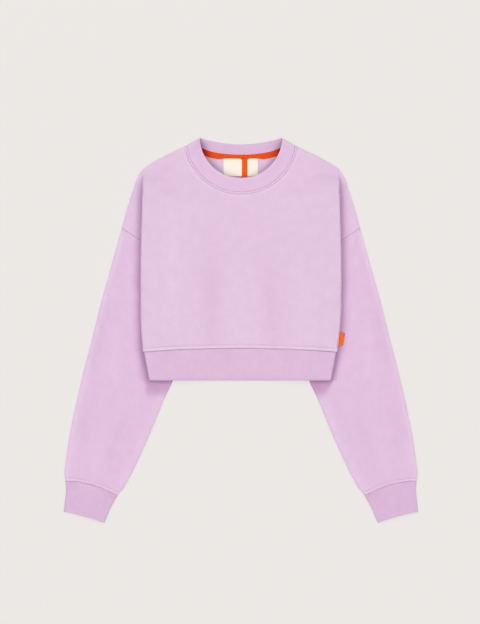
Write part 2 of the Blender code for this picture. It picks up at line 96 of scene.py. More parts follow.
# Shoulder pleat
PLEAT_BEND = 2.0 * MM           # radius of the doubled cloth in each bend
PLEAT_START_Y = 321.2 * MM      # on the shoulder line
PLEAT_FORMING = 40.0 * MM       # length over which it turns right under
UNDERARM_Y = 85.0 * MM          # where the side seam starts, on the body's edge
UNDERARM_LEVEL = UNDERARM_Y - 1e-9      # a hair lower, so that rounding can't drop its row
UNDERARM_BEHIND = (79.7 * MM, 98.0 * MM)        # inner end of the armhole seam
ARMHOLE_TOP = (237.8 * MM, 203.4 * MM)          # outer end of the armhole seam
CAP_START = 0.22                # share of the shoulder's outer edge above the pleat
CAP_ROUND = 0.25                # its round top fades over this share of the pleat's height
CAP_VISIBLE = 48.0 * MM         # finely divided stretch of the dropped shoulder,
CAP_VISIBLE_SHARE = 0.9         # or this share of its width where that is less
UNDERARM_EASE = 45.0 * MM       # the side edge is rounder over this length below it
SHOULDER_SLANT = 0.84           # from a length down the pleat to one square to the shoulder
ARMHOLE_SHOWS = Onset(14.0 * MM, 10.0 * MM)     # the armhole seam, past the pleat's first bend

# Body
HEM_SEAM_Y = -37.6 * MM
HEM_SEAM_DROP = 7.0 * MM
HEM_EDGE_Y = -101.2 * MM
HEM_TOP_HALF = 191.6 * MM       # the rib is a little narrower than the body above it
HEM_HALF = 180.9 * MM
LEAN = 1.8 * MM                 # how far the hem lies off the middle, to the right
LEAN_TOP_Y = 60.0 * MM          # where it starts to, and over what length
LEAN_LENGTH = 110.0 * MM

# How the body rides over what lies under it
RAMP_START = 18.0 * MM          # flat margin inside the edge of what lies under
FLAT_SHARE = 0.22               # share of the width inside it that lies on the floor
PLEAT_RUNOUT = 90.0 * MM        # the body comes down from the pleat over this length
UNDERARM_MARGIN = 3.0 * MM      # and starts to do so this far below the underarm
DROOP_WIDTH = 26.0 * MM         # below the pleat the side seam sinks onto the sleeve
DROOP_LENGTH = 9.0 * MM
SEAM_STEP = 2.0 * MM            # over this length the fold gives way to the side seam
PLEAT_LAP = 3.2 * MM            # the pleat's bend laps over the start of the side seam

# Rib bands
CUFF_SEAM_BOW = 7.0 * MM
CUFF_EDGE_BOW = 2.0 * MM
CUFF_DEPTH = 58.0 * MM
HEM_DEPTH = 63.0 * MM
NECK_DEPTH = 28.0 * MM
RIB_START = 2.5 * MM            # the ribs rise over this length past the seam
RIB_END = 1.6 * MM              # and end over this length before the open edge
RIB_EDGE_ROUND = 0.55 * CLOTH   # radius of the open edge
RIPPLE_HEIGHT = 0.22 * MM       # waves that the fuller piece presses into a band
RIPPLE_START = 3.0 * MM
RIPPLE_REACH = 16.0 * MM

# Trims
TRIM = 1.0 * MM                 # thickness of the tape, the label and the ribbon on it
TRIM_GAP = 0.3 * MM             # between a trim and what it lies on
TRIM_ROUND = 0.7 * MM           # how wide a trim's round edge is
TAPE_HALF = 82.0 * MM
TAPE_CROWN = 0.25               # the tape is thicker by this share along its middle
TAPE_ROWS = (0, .03, .07, .13, .25, .4, .5, .6, .75, .87, .93, .97, 1)
LABEL_WIDTH = 69.2 * MM
LABEL_MIDDLE_X = -0.6 * MM
LABEL_BOTTOM_Y = 306.3 * MM
LABEL_CURL = 0.5 * MM           # how far its lower corners stand off the cloth,
LABEL_CURL_MIDDLE = 0.3         # and the share of that between them
STRIP_WIDTH = 10.6 * MM
STRIP_MIDDLE_X = 7.3 * MM
STRIP_BOTTOM_Y = 300.0 * MM
STRIP_FLARE = 3.4 * MM          # the strip widens by this much into the tape,
STRIP_FLARE_LENGTH = 1.2 * STRIP_FLARE          # over this length, along this curve
STRIP_FLARE_CURVE = 2.4
TAB_TOP_Y = -6.6 * MM
TAB_LENGTH = 24.8 * MM
TAB_OUT_TOP = 10.6 * MM
TAB_OUT_BOTTOM = 9.4 * MM
TAB_ROOT = 1.2 * MM             # how far inside the body's edge it starts
TAB_SPARE = 1.5 * MM            # and how much longer it is for that
TAB_TILT = 0.4 * MM
TAB_HALF = 0.95 * MM            # half its thickness, which is less where it is sewn in
TAB_PINCHED = 0.45
TAB_PINCH_SHARE = 0.35          # over this share of its length
TAB_FOLD_SHARE = 0.11           # how far the round fold at its other end reaches
TAB_DROOP = 0.9 * MM
TAB_WAVE = 0.15 * MM

# How much higher the cloth stands in places than its plain form
SIDE_PUFF = 6.0 * MM            # front, just inside the side edges
SIDE_PUFF_LOW = 7.6 * MM        # the same below the underarm
LOW_PUFF_TOP_Y = UNDERARM_Y + 25.0 * MM         # where it starts to change, over what length
LOW_PUFF_LENGTH = 50.0 * MM
HEM_PUFF = 3.6 * MM             # the same at the hem's open edge
HEM_PUFF_REACH = 45.0 * MM
SIDE_ROUND = 4.4 * MM           # how wide the round edge there is
SIDE_EASE = Onset(10.0 * MM, 70.0 * MM)         # the fuller edge sinks towards the middle
SIDE_EASE_SHARE = 0.8
SHOULDER_PUFF_START = 50.0 * MM
RIM_LIFT_LEFT = 5.6 * MM        # front half of the neckband, at its open edge
RIM_LIFT_RIGHT = 9.0 * MM
RIM_LIFT_MIDDLE = 4.6 * MM
RIM_LIFT_END = 0.07             # it starts from nothing over this share at each end,
RIM_LIFT_CURVE = 1.6            # is steeper towards the edge
RIM_LIFT_SPREAD = 1.3           # and grows from the middle to the sides
RIM_SPREAD = 0.8 * MM           # and how much wider the neck opens there
FOLDS_BELOW_SHOULDER = Onset(3.0 * MM, 12.0 * MM)       # soft folds, off the body's edges
FOLDS_INSIDE_EDGE = Onset(2.0 * MM, 16.0 * MM)
BODY_SOFT_RISE = 0.3 * MM       # mean height of the cloth there
SLEEVE_SOFT_RISE = 0.2 * MM
FOLDS_ABOVE_CUFF = 30.0 * MM    # a sleeve's folds are gone over this length
FOLD_FADE_IN = 0.4              # a fold's ends, as shares of its length
FOLD_FADE_OUT = 0.25

# Painted shade in the crease beside the body and its hem band: how much deeper the colour is,
# and how far that reaches, at heights from the hem up
CREASE_Y = np.array([-101, -60, -20, 40, 150, 225, 262, 284, 308]) * MM
CREASE_SHADE = (4.2, 4.2, 3.2, 2.6, 2.4, 2.9, 3.0, 1.8, 0.0)
CREASE_WIDTH = np.array([13.5, 13.5, 12.5, 11.8, 11.6, 10.8, 10.2, 9.5, 9.0]) * MM
Change = namedtuple("Change", "by_hem under_hem")
CREASE_WIDER_RIGHT = Change(0.08, -0.4)         # change of that width in the hem's crease
CREASE_WIDER_LEFT = Change(-0.22, -0.6)
BY_HEM_START = 20.0 * MM        # it starts this far above the hem band, over what length
BY_HEM_LENGTH = 45.0 * MM
BELOW_HEM_SHADE = 3.4            # painted shade below the hem band
BELOW_HEM_RIGHT = 31.0 * MM
BELOW_HEM_LEFT = 34.0 * MM
BELOW_HEM_START = 2.0 * MM      # it starts this far above the hem's edge, over what length
BELOW_HEM_LENGTH = 10.0 * MM
BELOW_HEM_ROUND = 150.0 * MM    # on the left the shade rounds off from here to the corner
BELOW_HEM_CORNER = HEM_HALF + 3.0 * MM
BELOW_HEM_FULL = 1.02
BELOW_HEM_CURVE = 2.5
BELOW_HEM_FALL = 5              # how suddenly it ends
BELOW_HEM_INNER = 0.9           # and is deeper towards the sleeve's inner edge
BELOW_HEM_INNER_X = 176.0 * MM
BELOW_HEM_INNER_LENGTH = 30.0 * MM
RIM_SHADE_LEFT = 1.1             # painted shade inside the neck, under the front's open edge
RIM_SHADE_RIGHT = 2.4
RIM_SHADE_CORNER = 1.6           # and more in its two corners
RIM_WIDTH_LEFT = 17.0 * MM
RIM_WIDTH_RIGHT = 10.5 * MM
RIM_FALL = 1.6                  # how suddenly it ends
RIM_SIDE_X = Onset(28.0 * MM, 30.0 * MM)        # it sets in away from the middle
RIM_CORNER_Y = Onset(348.0 * MM, 16.0 * MM)
RIM_TIP_Y = Onset(372.0 * MM, 6.0 * MM)         # and is narrower in the tips
RIM_TIP_NARROWER = 0.4
TAPE_SHADED = 2.8               # the tape takes more of this painted shade than other trims
INSIDE_BACK_SHADE = -0.1         # painted shade all over the back's inside
SHOULDER_SEAM_TONE = 0.35       # along the shoulder seam
SHOULDER_SEAM_REACH = 3.0 * MM

# Painted light and shade on edges, ribs and folds, and the rib's own tints
FOLD_TONE = 0.5 / MM            # painted light on soft folds and painted shade in troughs, for their height
RIPPLE_TONE = 1.4 / MM          # the same on the waves beside a rib band's seam
Rim = namedtuple("Rim", "tone onset")
SLEEVE_INNER_RIM = Rim(0.5, Onset(3.0 * MM, 22.0 * MM))         # painted highlight just inside a sleeve's edges
SLEEVE_OUTER_RIM = Rim(0.85, Onset(2.5 * MM, 9.0 * MM))
SLEEVE_RIM_START = 20.0 * MM    # past the armhole seam
CUFF_TONE = -0.5
# painted shade on the cuff next to its seam
CUFF_SEAM_TONE = 0.4
CUFF_SEAM_REACH = 5.0 * MM
# painted shade on the hem band next to its seam, and along its open edge
HEM_SEAM_TONE = 0.5
HEM_SEAM_REACH = 1.2 * MM
HEM_EDGE_TONE = 1.5
HEM_EDGE_REACH = 3.0 * MM
NECK_FRONT_TONE = 0.75
NECK_EDGE_TONE = 0.6            # painted highlight on the front's open edge
NECK_EDGE_START = 2.0 * MM
NECK_EDGE_END_AT = Onset(3.5 * MM, 4.0 * MM)
# painted shade all over the neckband's inside
NECK_INSIDE_TONE = -0.35
NECK_FOLD_HIGHLIGHT = 0.6            # painted highlight along the folded edge, inside
NECK_FOLD_HIGHLIGHT_REACH = 2.5 * MM
TAB_ROOT_LIGHT = 3.0             # painted light where the tab comes out of the seam
TAB_ROOT_SHARE = 0.5

# Rows beside a seam, as shares of the distance to its second row of stitches
SEAM_ROWS = np.array([0, .04, .09, .16, .25, .38, .53, .69, .81, .91, 1, 1.09, 1.22,
                      1.42, 1.75, 2.2])
NEAR_STITCHES = 4               # numbers of the rows that carry the stitches
FAR_STITCHES = 10

# Rows and columns before an edge that is rolled or rounded, and rows above the underarm
EDGE_STEPS = np.array([5.5, 3.5, 2.2, 1.5, 1.0, 0.6, 0.25, 0.0]) * MM
UNDERARM_ROWS = np.array([9.0, 6.4, 4.4, 3.0, 2.0, 1.2, 0.5, 0.0]) * MM

# How finely the pieces are divided
NECK_STEPS = 48
SHOULDER_STEPS = 30
BEND_STEPS = 10
RETURN_STEPS = 6
CAP_STEPS = 24
PLEAT_ROWS = 66
LOWER_ROWS = 34
SLEEVE_STEPS = 56
SLEEVE_ROWS = 118
SIDE_STEPS = 7
RIB_SIDE_STEPS = 12
CUFF_STEPS, CUFF_ROWS = 203, 12
HEM_STEPS, HEM_ROWS = 851, 13
NECK_FRONT_STEPS, NECK_BACK_STEPS, NECK_ROWS = 623, 419, 9
LABEL_STEPS, LABEL_ROWS = 30, 16
TAPE_STEPS = 161
TAB_STEPS = 12
TAB_COLUMNS = np.r_[np.linspace(0.0, 0.86, 12), 0.92, 0.96, 0.985, 1.0]
BEND_FALL = (1 + np.cos(np.linspace(0.0, math.pi, BEND_STEPS + 1))) / 2
BEND_RISE = np.sin(np.linspace(0, math.pi, BEND_STEPS + 1))
RIB_POINTS = (1.0, 0.85, 0.0, -1.0, 0.0, 0.85)      # one rib and its groove, in section
MERGED = 0.02 * MM              # points this close are one
SHARP_ANGLE = math.radians(60)

# Thread and nap
STITCH_SHOWS = 0.78             # share of a stitch's length that lies on top
THREAD_RADIUS = 0.24 * MM
FLEECE_MOTTLING = 0.035         # how uneven the colour is
RIB_MOTTLING = 0.027


# Seams: where the second row of stitches runs, how high the cloth stands between it and
# the seam and beyond it, how deep the stitches sink in, the groove along the seam, and how
# much painted highlight the cloth takes between the lines, painted shade on the second one,
# painted highlight past it and painted shade on the seam itself
Seam = namedtuple("Seam", "line crest beyond sunk groove width paler darker after pressed")
NECK_SEAM = Seam(4.6 * MM, 0.50 * MM, 0.45 * MM, 0.80 * MM, 0.65 * MM, 0.9 * MM,
                 0.65, 1.3, 0.6, 0.8)
HEM_SEAM = Seam(7.8 * MM, 0.75 * MM, 0.12 * MM, 0.50 * MM, 1.20 * MM, 1.1 * MM,
                1.0, 0.5, 0.0, 0.7)
CUFF_SEAM = Seam(7.0 * MM, 0.50 * MM, 0.10 * MM, 0.45 * MM, 0.65 * MM, 1.1 * MM,
                 0.6, 0.4, 0.0, 0.5)
ARMHOLE_SEAM = Seam(7.0 * MM, 0.0, 0.0, 0.0, 1.20 * MM, 1.3 * MM, 0.0, 0.0, 0.0, 1.3)

# Section and shade across a seam, in shares of the distance to its second row of stitches
RIDGE_RISES, RIDGE_FALLS = Onset(0.0, 0.2), Onset(0.42, 0.52)
BEYOND_RISES, BEYOND_FALLS = Onset(1.02, 0.4), Onset(1.45, 0.75)
STITCH_DENT = 0.1
PALER_RISES, PALER_FALLS = Onset(0.08, 0.25), Onset(0.62, 0.3)
AFTER_RISES, AFTER_FALLS = Onset(1.15, 0.4), Onset(1.7, 1.0)
STITCH_SHADE = 0.15
SEAM_SHADE_REACH = 0.8 * MM


def table(columns, *rows):
    """Rows of millimetres as named points in metres."""
    row_type = namedtuple("Row", columns)
    return [row_type(*(value * MM for value in row)) for row in rows]


# Shoulder line and outer edge of the dropped shoulder, neck to armhole seam
SHOULDER = table("x y", (108.8, 367.8), (131.0, 357.2), (154.0, 346.0), (176.5, 333.6),
                 (195.5, 321.2))
CAP_EDGE = table("x y", (195.5, 321.2), (201.4, 314.0), (208.6, 299.6), (214.8, 280.8),
                 (223.0, 256.2), (237.8, 203.4))

# The body's visible side edge, from the pleat down to the hem seam
BODY_EDGE = table("y x", (306.0, 196.8), (282.0, 197.0), (240.0, 197.5), (181.0, 199.3),
                  (131.0, 200.1), (79.0, 200.6), (30.0, 200.1), (-4.0, 198.1), (-44.6, 193.9))

# Both edges of the left sleeve, armhole seam to cuff seam
SLEEVE_OUTER = table("x y", (237.8, 203.4), (258.0, 131.0), (278.0, 59.4), (293.2, -0.6),
                     (328.0, -140.6), (344.0, -220.6), (349.8, -260.6), (352.8, -288.0),
                     (351.2, -302.0))
SLEEVE_INNER = table("x y", (79.7, 98.0), (106.0, -1.0), (135.4, -100.6), (154.4, -140.6),
                     (170.6, -180.6), (187.6, -220.6), (205.6, -260.6), (225.6, -300.6),
                     (235.0, -316.6), (247.0, -331.0))

# Both edges of the left cuff, seam to open edge
CUFF_OUTER = table("x y", (351.2, -302.0), (349.4, -318.0), (351.4, -340.0), (354.0, -363.6))
CUFF_INNER = table("x y", (247.0, -331.0), (261.4, -358.0), (273.0, -386.0))

# Upper and lower edge of the neck tape, from the middle to either end
TAPE_EDGE = table("x top bottom", (0, 349.7, 342.1), (18, 350.1, 342.3), (30, 351.0, 342.3),
                  (44, 352.8, 341.0), (54, 354.6, 342.2), (65, 357.6, 345.2),
                  (74, 361.2, 348.2), (82, 364.8, 351.5))

# Soft folds, each along a line: how far it reaches to each side, and its height
BODY_FOLDS = table("x0 y0 x1 y1 width height",
                   (-62, 205, -56, -60, 17, -1.0), (58, 190, 64, -60, 15, -0.9),
                   (-8, 150, 2, -60, 24, 0.5), (-140, 300, -142, -50, 26, 0.7),
                   (132, 140, 138, -50, 22, 0.45), (-186, 318, -128, 326, 7, -0.7),
                   (186, 322, 140, 334, 7, -0.6), (-176, 296, -96, 250, 13, -0.5),
                   (178, 300, 90, 262, 14, -0.5), (-150, 262, -60, 226, 18, 0.35),
                   (152, 268, 70, 232, 18, 0.35))
SLEEVE_FOLDS = table("x0 y0 x1 y1 width height",
                     (262, 96, 300, -96, 15, -0.8), (236, 40, 262, -120, 18, 0.6),
                     (306, -130, 318, -250, 12, -0.6), (226, -150, 274, -286, 14, -0.7),
                     (262, -190, 292, -300, 13, 0.6), (330, -200, 336, -292, 8, 0.5))


# ---- curves and patches --------------------------------------------------------------

def smoothstep(value):
    value = np.clip(value, 0.0, 1.0)
    return value * value * (3.0 - 2.0 * value)


def set_in(value, onset):
    """0 up to where something sets in, 1 once it is all there."""
    return smoothstep((value - onset.start) / onset.over)


def swell(value, rises, falls):
    """0, then 1 once it has risen, then 0 again."""
    return set_in(value, rises) * (1 - set_in(value, falls))


def hermite(knots, values, slopes, at):
    """Smooth values between knots, one for each place asked for."""
    k = np.clip(np.searchsorted(knots, at) - 1, 0, len(knots) - 2)
    span = knots[k + 1] - knots[k]
    t = (at - knots[k]) / span
    if values.ndim > 1:
        span, t = span[..., None], t[..., None]
    return (values[k] * (1 + 2 * t) * (1 - t) ** 2 + slopes[k] * span * t * (1 - t) ** 2
            + values[k + 1] * t * t * (3 - 2 * t) + slopes[k + 1] * span * t * t * (t - 1))


def lengths(points, axis=0):
    """How far along each row of points lies, from its first one."""
    steps = np.linalg.norm(np.diff(points, axis=axis), axis=-1)
    start = np.zeros_like(np.take(steps, [0], axis=axis))
    return np.cumsum(np.concatenate([start, steps], axis=axis), axis=axis)


def from_last(points, axis=0):
    """The same, back from its last one."""
    return np.flip(lengths(np.flip(points, axis), axis), axis)


def shares(points):
    """How far along a row of points each lies, from 0 to 1."""
    far = lengths(points)
    return far / far[-1]


def path(rows, at):
    """Points of the smooth plane curve through a table's rows, at shares of its length."""
    points = np.array([(row.x, row.y) for row in rows])
    knots = shares(points)
    return hermite(knots, points, np.gradient(points, knots, axis=0), np.asarray(at))


def read(rows, column, by, at):
    """One column of a table, smoothly read between its rows at values of another."""
    ordered = sorted(rows, key=lambda row: getattr(row, by))
    knots = np.array([getattr(row, by) for row in ordered])
    values = np.array([getattr(row, column) for row in ordered])
    return hermite(knots, values, np.gradient(values, knots), np.clip(at, knots[0], knots[-1]))


def x_at(rows, y):
    """x of a table's edge at a height."""
    return read(rows, "x", "y", y)


def bowed(start, end, bow, steps):
    """A shallow arc between two points, bowed towards +Y."""
    share = np.linspace(0.0, 1.0, steps + 1)[:, None]
    line = np.array(start) * (1 - share) + np.array(end) * share
    line[:, 1] += (4 * bow * share * (1 - share))[:, 0]
    return line


def beside(start, end, edge):
    """A straight edge divided in the same shares as the edge opposite."""
    return start + (end - start) * shares(edge)[:, None]


def patch(top, bottom, left, right, across=None):
    """A grid between four edges seen from above: rows top to bottom, columns left to right."""
    v = shares(right)[:, None, None]
    u = (shares(bottom) if across is None else across)[None, :, None]
    edges = (1 - v) * top[None] + v * bottom[None] + (1 - u) * left[:, None] + u * right[:, None]
    corners = ((1 - u) * (1 - v) * top[0] + u * (1 - v) * top[-1]
               + (1 - u) * v * bottom[0] + u * v * bottom[-1])
    return edges - corners


def graded(length, steps):
    """Distances from a start to an edge, finer just before the edge."""
    fine = length - EDGE_STEPS
    return np.r_[np.linspace(0.0, fine[0], steps - len(fine) + 2)[:-1], fine]


def unit(vectors):
    return vectors / np.linalg.norm(vectors, axis=-1, keepdims=True)


def run_on(line, length, steps):
    """A line with a straight stretch added at each end."""
    away = np.linspace(length, length / steps, steps)[:, None]
    before = line[0] + unit(line[0] - line[1]) * away
    after = line[-1] + unit(line[-1] - line[-2]) * away[::-1]
    return np.concatenate([before, line, after])


def inset(line, distance):
    """A line moved to its right, seen along it."""
    run = np.gradient(line, axis=0)
    return line + unit(np.stack([run[:, 1], -run[:, 0]], axis=1)) * distance


# ---- heights -------------------------------------------------------------------------

def pleat_turn(y):
    """How far the pleat has turned under at this height: 0 to half a turn."""
    return math.pi * smoothstep((PLEAT_START_Y - y) / PLEAT_FORMING)


def inner_fold(y):
    """x of the pleat's hidden inner fold, a straight line down to the underarm."""
    top_y = PLEAT_START_Y - PLEAT_FORMING
    top_x = x_at(BODY_EDGE, top_y) - PLEAT_BEND - REACH
    return np.interp(y, [UNDERARM_BEHIND[1], top_y], [UNDERARM_BEHIND[0], top_x])


def ramp(x, y):
    """How far up the body is towards what lies under it: 0 on the floor, 1 on top."""
    under_edge = np.where(y > UNDERARM_BEHIND[1], inner_fold(y), x_at(SLEEVE_INNER, y))
    top = under_edge - RAMP_START
    return smoothstep((np.abs(x) - FLAT_SHARE * top) / (top - FLAT_SHARE * top))


def level(x, y):
    """Height of the doubled cloth's middle over the sleeves and the pleats."""
    over_pleat = 2 * PLEAT_BEND * (1 - np.cos(pleat_turn(y)))
    over_sleeve = 2 * REACH + LAYER_GAP
    below = smoothstep((UNDERARM_Y - UNDERARM_MARGIN - y) / PLEAT_RUNOUT)
    at_seam = 1 - smoothstep((x_at(BODY_EDGE, y) - np.abs(x)) / DROOP_WIDTH)
    below = np.maximum(below, at_seam * smoothstep((UNDERARM_Y - y) / DROOP_LENGTH))
    return FLOOR_LEVEL + ramp(x, y) * (over_pleat * (1 - below) + over_sleeve * below)


def lean(y):
    """How far the body lies off the middle: more and more towards the hem."""
    return -LEAN * smoothstep((LEAN_TOP_Y - y) / LEAN_LENGTH)


def on_floor(x, y):
    return np.full_like(x, FLOOR_LEVEL)


def body_loft(x, y):
    """How far the front stands off the back: most in the middle of the body."""
    run = unit(np.array(NECK_EDGE_END) - np.array(NECK_SEAM_END))
    below_shoulder = ((np.abs(x) - NECK_SEAM_END[0]) * -run[1]
                      + (y - NECK_SEAM_END[1]) * run[0])
    held = smoothstep(below_shoulder / SHOULDER_HOLD)
    held = held * smoothstep((y - HEM_EDGE_Y + HEM_LOOSE) / HEM_HOLD)
    return BODY_LOFT * held * (1 - ramp(x, y))


def front_lift(x, y, inside=None):
    """All that the front rises over the back: loft, fuller sides and soft folds."""
    below_shoulder = shoulder_distance(x, y)
    if inside is None:
        inside = x_at(BODY_EDGE, y) - np.abs(x)
    soft = set_in(below_shoulder, FOLDS_BELOW_SHOULDER) * set_in(inside, FOLDS_INSIDE_EDGE)
    puff = lip(inside, SIDE_ROUND) * (1 - SIDE_EASE_SHARE * set_in(inside, SIDE_EASE))
    puff = puff * ramp(x, y) * smoothstep(below_shoulder / SHOULDER_PUFF_START)
    low = smoothstep((LOW_PUFF_TOP_Y - y) / LOW_PUFF_LENGTH)
    at_hem = smoothstep((HEM_EDGE_Y + HEM_PUFF_REACH - y) / HEM_PUFF_REACH)
    full = SIDE_PUFF + (SIDE_PUFF_LOW - SIDE_PUFF) * low
    full = full + (HEM_PUFF - full) * at_hem
    return (body_loft(x, y) + full * puff
            + soft * (folds(BODY_FOLDS, x, y) + lie(x, y) + BODY_SOFT_RISE))


def beside_body(x, y):
    """How far outside the body and its hem band a plane point lies, to the side."""
    down = np.clip((BODY_EDGE[-1].y - y) / (BODY_EDGE[-1].y - HEM_EDGE_Y), 0.0, 1.0)
    hem_edge = HEM_TOP_HALF + (HEM_HALF - HEM_TOP_HALF) * down
    return np.abs(x - lean(y)) - np.where(y < BODY_EDGE[-1].y, hem_edge, x_at(BODY_EDGE, y))


def clear_of_body(x, y):
    """The same, to the side or down, whichever is further."""
    return np.maximum(beside_body(x, y), HEM_EDGE_Y - y)


def sleeve_loft(x, y):
    """How far a sleeve's layers stand apart, pressed flat only where the body lies on it."""
    return SLEEVE_LOFT * smoothstep((clear_of_body(x, y) - EDGE_FLAT) / EDGE_HOLD)


def crease_shade(x, y):
    """Painted shade in the crease beside the body or below its hem."""
    by_hem = smoothstep((BODY_EDGE[-1].y + BY_HEM_START - y) / BY_HEM_LENGTH)
    under = smoothstep((HEM_EDGE_Y + BELOW_HEM_START - y) / BELOW_HEM_LENGTH)
    to_corner = np.clip((x - BELOW_HEM_ROUND) / (BELOW_HEM_CORNER - BELOW_HEM_ROUND), 0.0, 1.0)
    rounded = BELOW_HEM_FULL - to_corner ** BELOW_HEM_CURVE
    reach = np.where(x < 0, BELOW_HEM_RIGHT, BELOW_HEM_LEFT * rounded)
    inner_side = (x > 0) * smoothstep((BELOW_HEM_INNER_X - x) / BELOW_HEM_INNER_LENGTH)
    deep = np.interp(y, CREASE_Y, CREASE_SHADE)
    deep = deep + (BELOW_HEM_SHADE + BELOW_HEM_INNER * inner_side - deep) * under
    right, left = ((1 + change.by_hem * by_hem) * (1 + change.under_hem * under)
                   for change in (CREASE_WIDER_RIGHT, CREASE_WIDER_LEFT))
    wide = np.interp(y, CREASE_Y, CREASE_WIDTH) * np.where(x < 0, right, left)
    aside = np.maximum(beside_body(x, y), 0.0) / wide
    below = np.maximum(HEM_EDGE_Y - y, 0.0) / reach
    return -deep * np.exp(-aside ** (2 + by_hem) - below ** BELOW_HEM_FALL)


def rim_shade(x, y):
    """Painted shade inside the neck, close under the front's open edge."""
    inside = NECK_EDGE_RADIUS + RIM_SPREAD - np.hypot(x, y - NECK_CENTRE_Y)
    at_side = set_in(np.abs(x), RIM_SIDE_X)
    deep = np.where(x > 0, RIM_SHADE_LEFT, RIM_SHADE_RIGHT)
    deep = deep + RIM_SHADE_CORNER * set_in(y, RIM_CORNER_Y)
    wide = np.where(x > 0, RIM_WIDTH_LEFT, RIM_WIDTH_RIGHT)
    wide = wide * (1 - RIM_TIP_NARROWER * set_in(y, RIM_TIP_Y))
    return -deep * at_side * np.exp(-(np.maximum(inside, 0.0) / wide) ** RIM_FALL)


def folds(rows, x, y):
    """Height of a table's soft folds, each fading out towards both of its ends."""
    total = np.zeros_like(x)
    for row in rows:
        run = np.array([row.x1 - row.x0, row.y1 - row.y0])
        long = np.linalg.norm(run)
        run = run / long
        along = ((x - row.x0) * run[0] + (y - row.y0) * run[1]) / long
        aside = (x - row.x0) * run[1] - (y - row.y0) * run[0]
        fade = smoothstep(along / FOLD_FADE_IN) * smoothstep((1 - along) / FOLD_FADE_OUT)
        total += row.height * fade * np.exp(-(aside / row.width) ** 2)
    return total


def lie(x, y):
    """A slight unevenness of cloth that has been smoothed out by hand."""
    waves = (np.sin(x / 0.0131 + 2.1 * np.sin(y / 0.037)) * np.sin(y / 0.0227 + 1.3)
             + 0.7 * np.sin(x / 0.0079 - y / 0.0153 + 0.7) * np.sin(y / 0.0317 - 0.4))
    return 0.11 * MM * waves


# ---- sections across an edge or a seam -----------------------------------------------

def lip(distance, radius):
    """A quarter round: 0 at an edge, 1 from the radius inwards."""
    return np.sqrt(1 - (1 - np.clip(distance / radius, 0.0, 1.0)) ** 2)


def seam_section(distance, seam):
    """Height of the cloth beside a seam: its groove, the ridge over it, the stitch line."""
    q = distance / seam.line
    stitched = np.exp(-((q - 1) / STITCH_DENT) ** 2)
    raised = (seam.crest * swell(q, RIDGE_RISES, RIDGE_FALLS) - seam.sunk * stitched
              + seam.beyond * swell(q, BEYOND_RISES, BEYOND_FALLS))
    return raised - seam_groove(distance, seam)


def seam_groove(distance, seam):
    return seam.groove * (1 - lip(distance, seam.width))


def seam_tone(distance, seam):
    """Painted highlight on the stitched-down edge and past it, painted shade on its stitch line
    and on the seam.
    """
    q = distance / seam.line
    return (seam.paler * swell(q, PALER_RISES, PALER_FALLS)
            + seam.after * swell(q, AFTER_RISES, AFTER_FALLS)
            - seam.darker * np.exp(-((q - 1) / STITCH_SHADE) ** 2)
            - seam.pressed * np.exp(-(distance / SEAM_SHADE_REACH) ** 2))


# ---- meshes --------------------------------------------------------------------------

def quads(index):
    """Faces over a grid of point numbers, facing up where rows run down."""
    corners = (index[:-1, :-1], index[1:, :-1], index[1:, 1:], index[:-1, 1:])
    return np.stack(corners, axis=-1).reshape(-1, 4)


def grid_faces(rows, columns, first=0, turned=False):
    faces = quads(first + np.arange(rows * columns).reshape(rows, columns))
    return faces[:, ::-1] if turned else faces


def ring_faces(rows, columns):
    """The same over a grid whose last column meets its first."""
    index = np.arange(rows * columns).reshape(rows, columns)
    return quads(np.concatenate([index, index[:, :1]], axis=1))


def mesh_piece(name, points, faces, finish):
    mesh = bpy.data.meshes.new(name)
    mesh.from_pydata(np.asarray(points).tolist(), [], faces)
    mesh.materials.append(finish)
    mesh.shade_smooth()
    piece = bpy.data.objects.new(name, mesh)
    bpy.context.scene.collection.objects.link(piece)
    return piece


def shell(name, outer, inner, faces, weave, tone, finish, inner_tone=0.0):
    """A closed shell between an outer and an inner face that share their quads.

    Points in one place are merged, so blocks that meet along an edge are joined.
    What lies on the floor is pressed flat by it.
    """
    outer, inner, weave = (np.reshape(grid, (-1, 3)) for grid in (outer + 0.0, inner, weave))
    outer[:, 2] = np.maximum(outer[:, 2], 0.0)
    places = np.round(outer / MERGED).astype(np.int64)
    _, kept, number = np.unique(places, axis=0, return_index=True, return_inverse=True)
    number = number.reshape(-1)
    merged = []
    for face in number[faces].tolist():
        corners = [a for a, b in zip(face, face[1:] + face[:1]) if a != b]
        if len(set(corners)) == len(corners) > 2:
            merged.append(corners)
    edges = Counter()
    for face in merged:
        edges.update(zip(face, face[1:] + face[:1]))
    rim = [edge for edge in edges if (edge[1], edge[0]) not in edges]
    count = len(kept)
    closed = merged + [[corner + count for corner in reversed(face)] for face in merged]
    closed += [[b, a, a + count, b + count] for a, b in rim]
    piece = mesh_piece(name, np.concatenate([outer[kept], inner[kept]]), closed, finish)
    piece.data.set_sharp_from_angle(angle=SHARP_ANGLE)
    paint = piece.data.attributes.new("weave", "FLOAT_VECTOR", "POINT")
    paint.data.foreach_set("vector", np.tile(weave[kept], (2, 1)).astype(np.float32).ravel())
    paint = piece.data.attributes.new("tone", "FLOAT", "POINT")
    both = np.concatenate([np.ravel(t)[kept] for t in (tone, inner_tone + 0 * tone)])
    paint.data.foreach_set("value", both.astype(np.float32))
    return piece


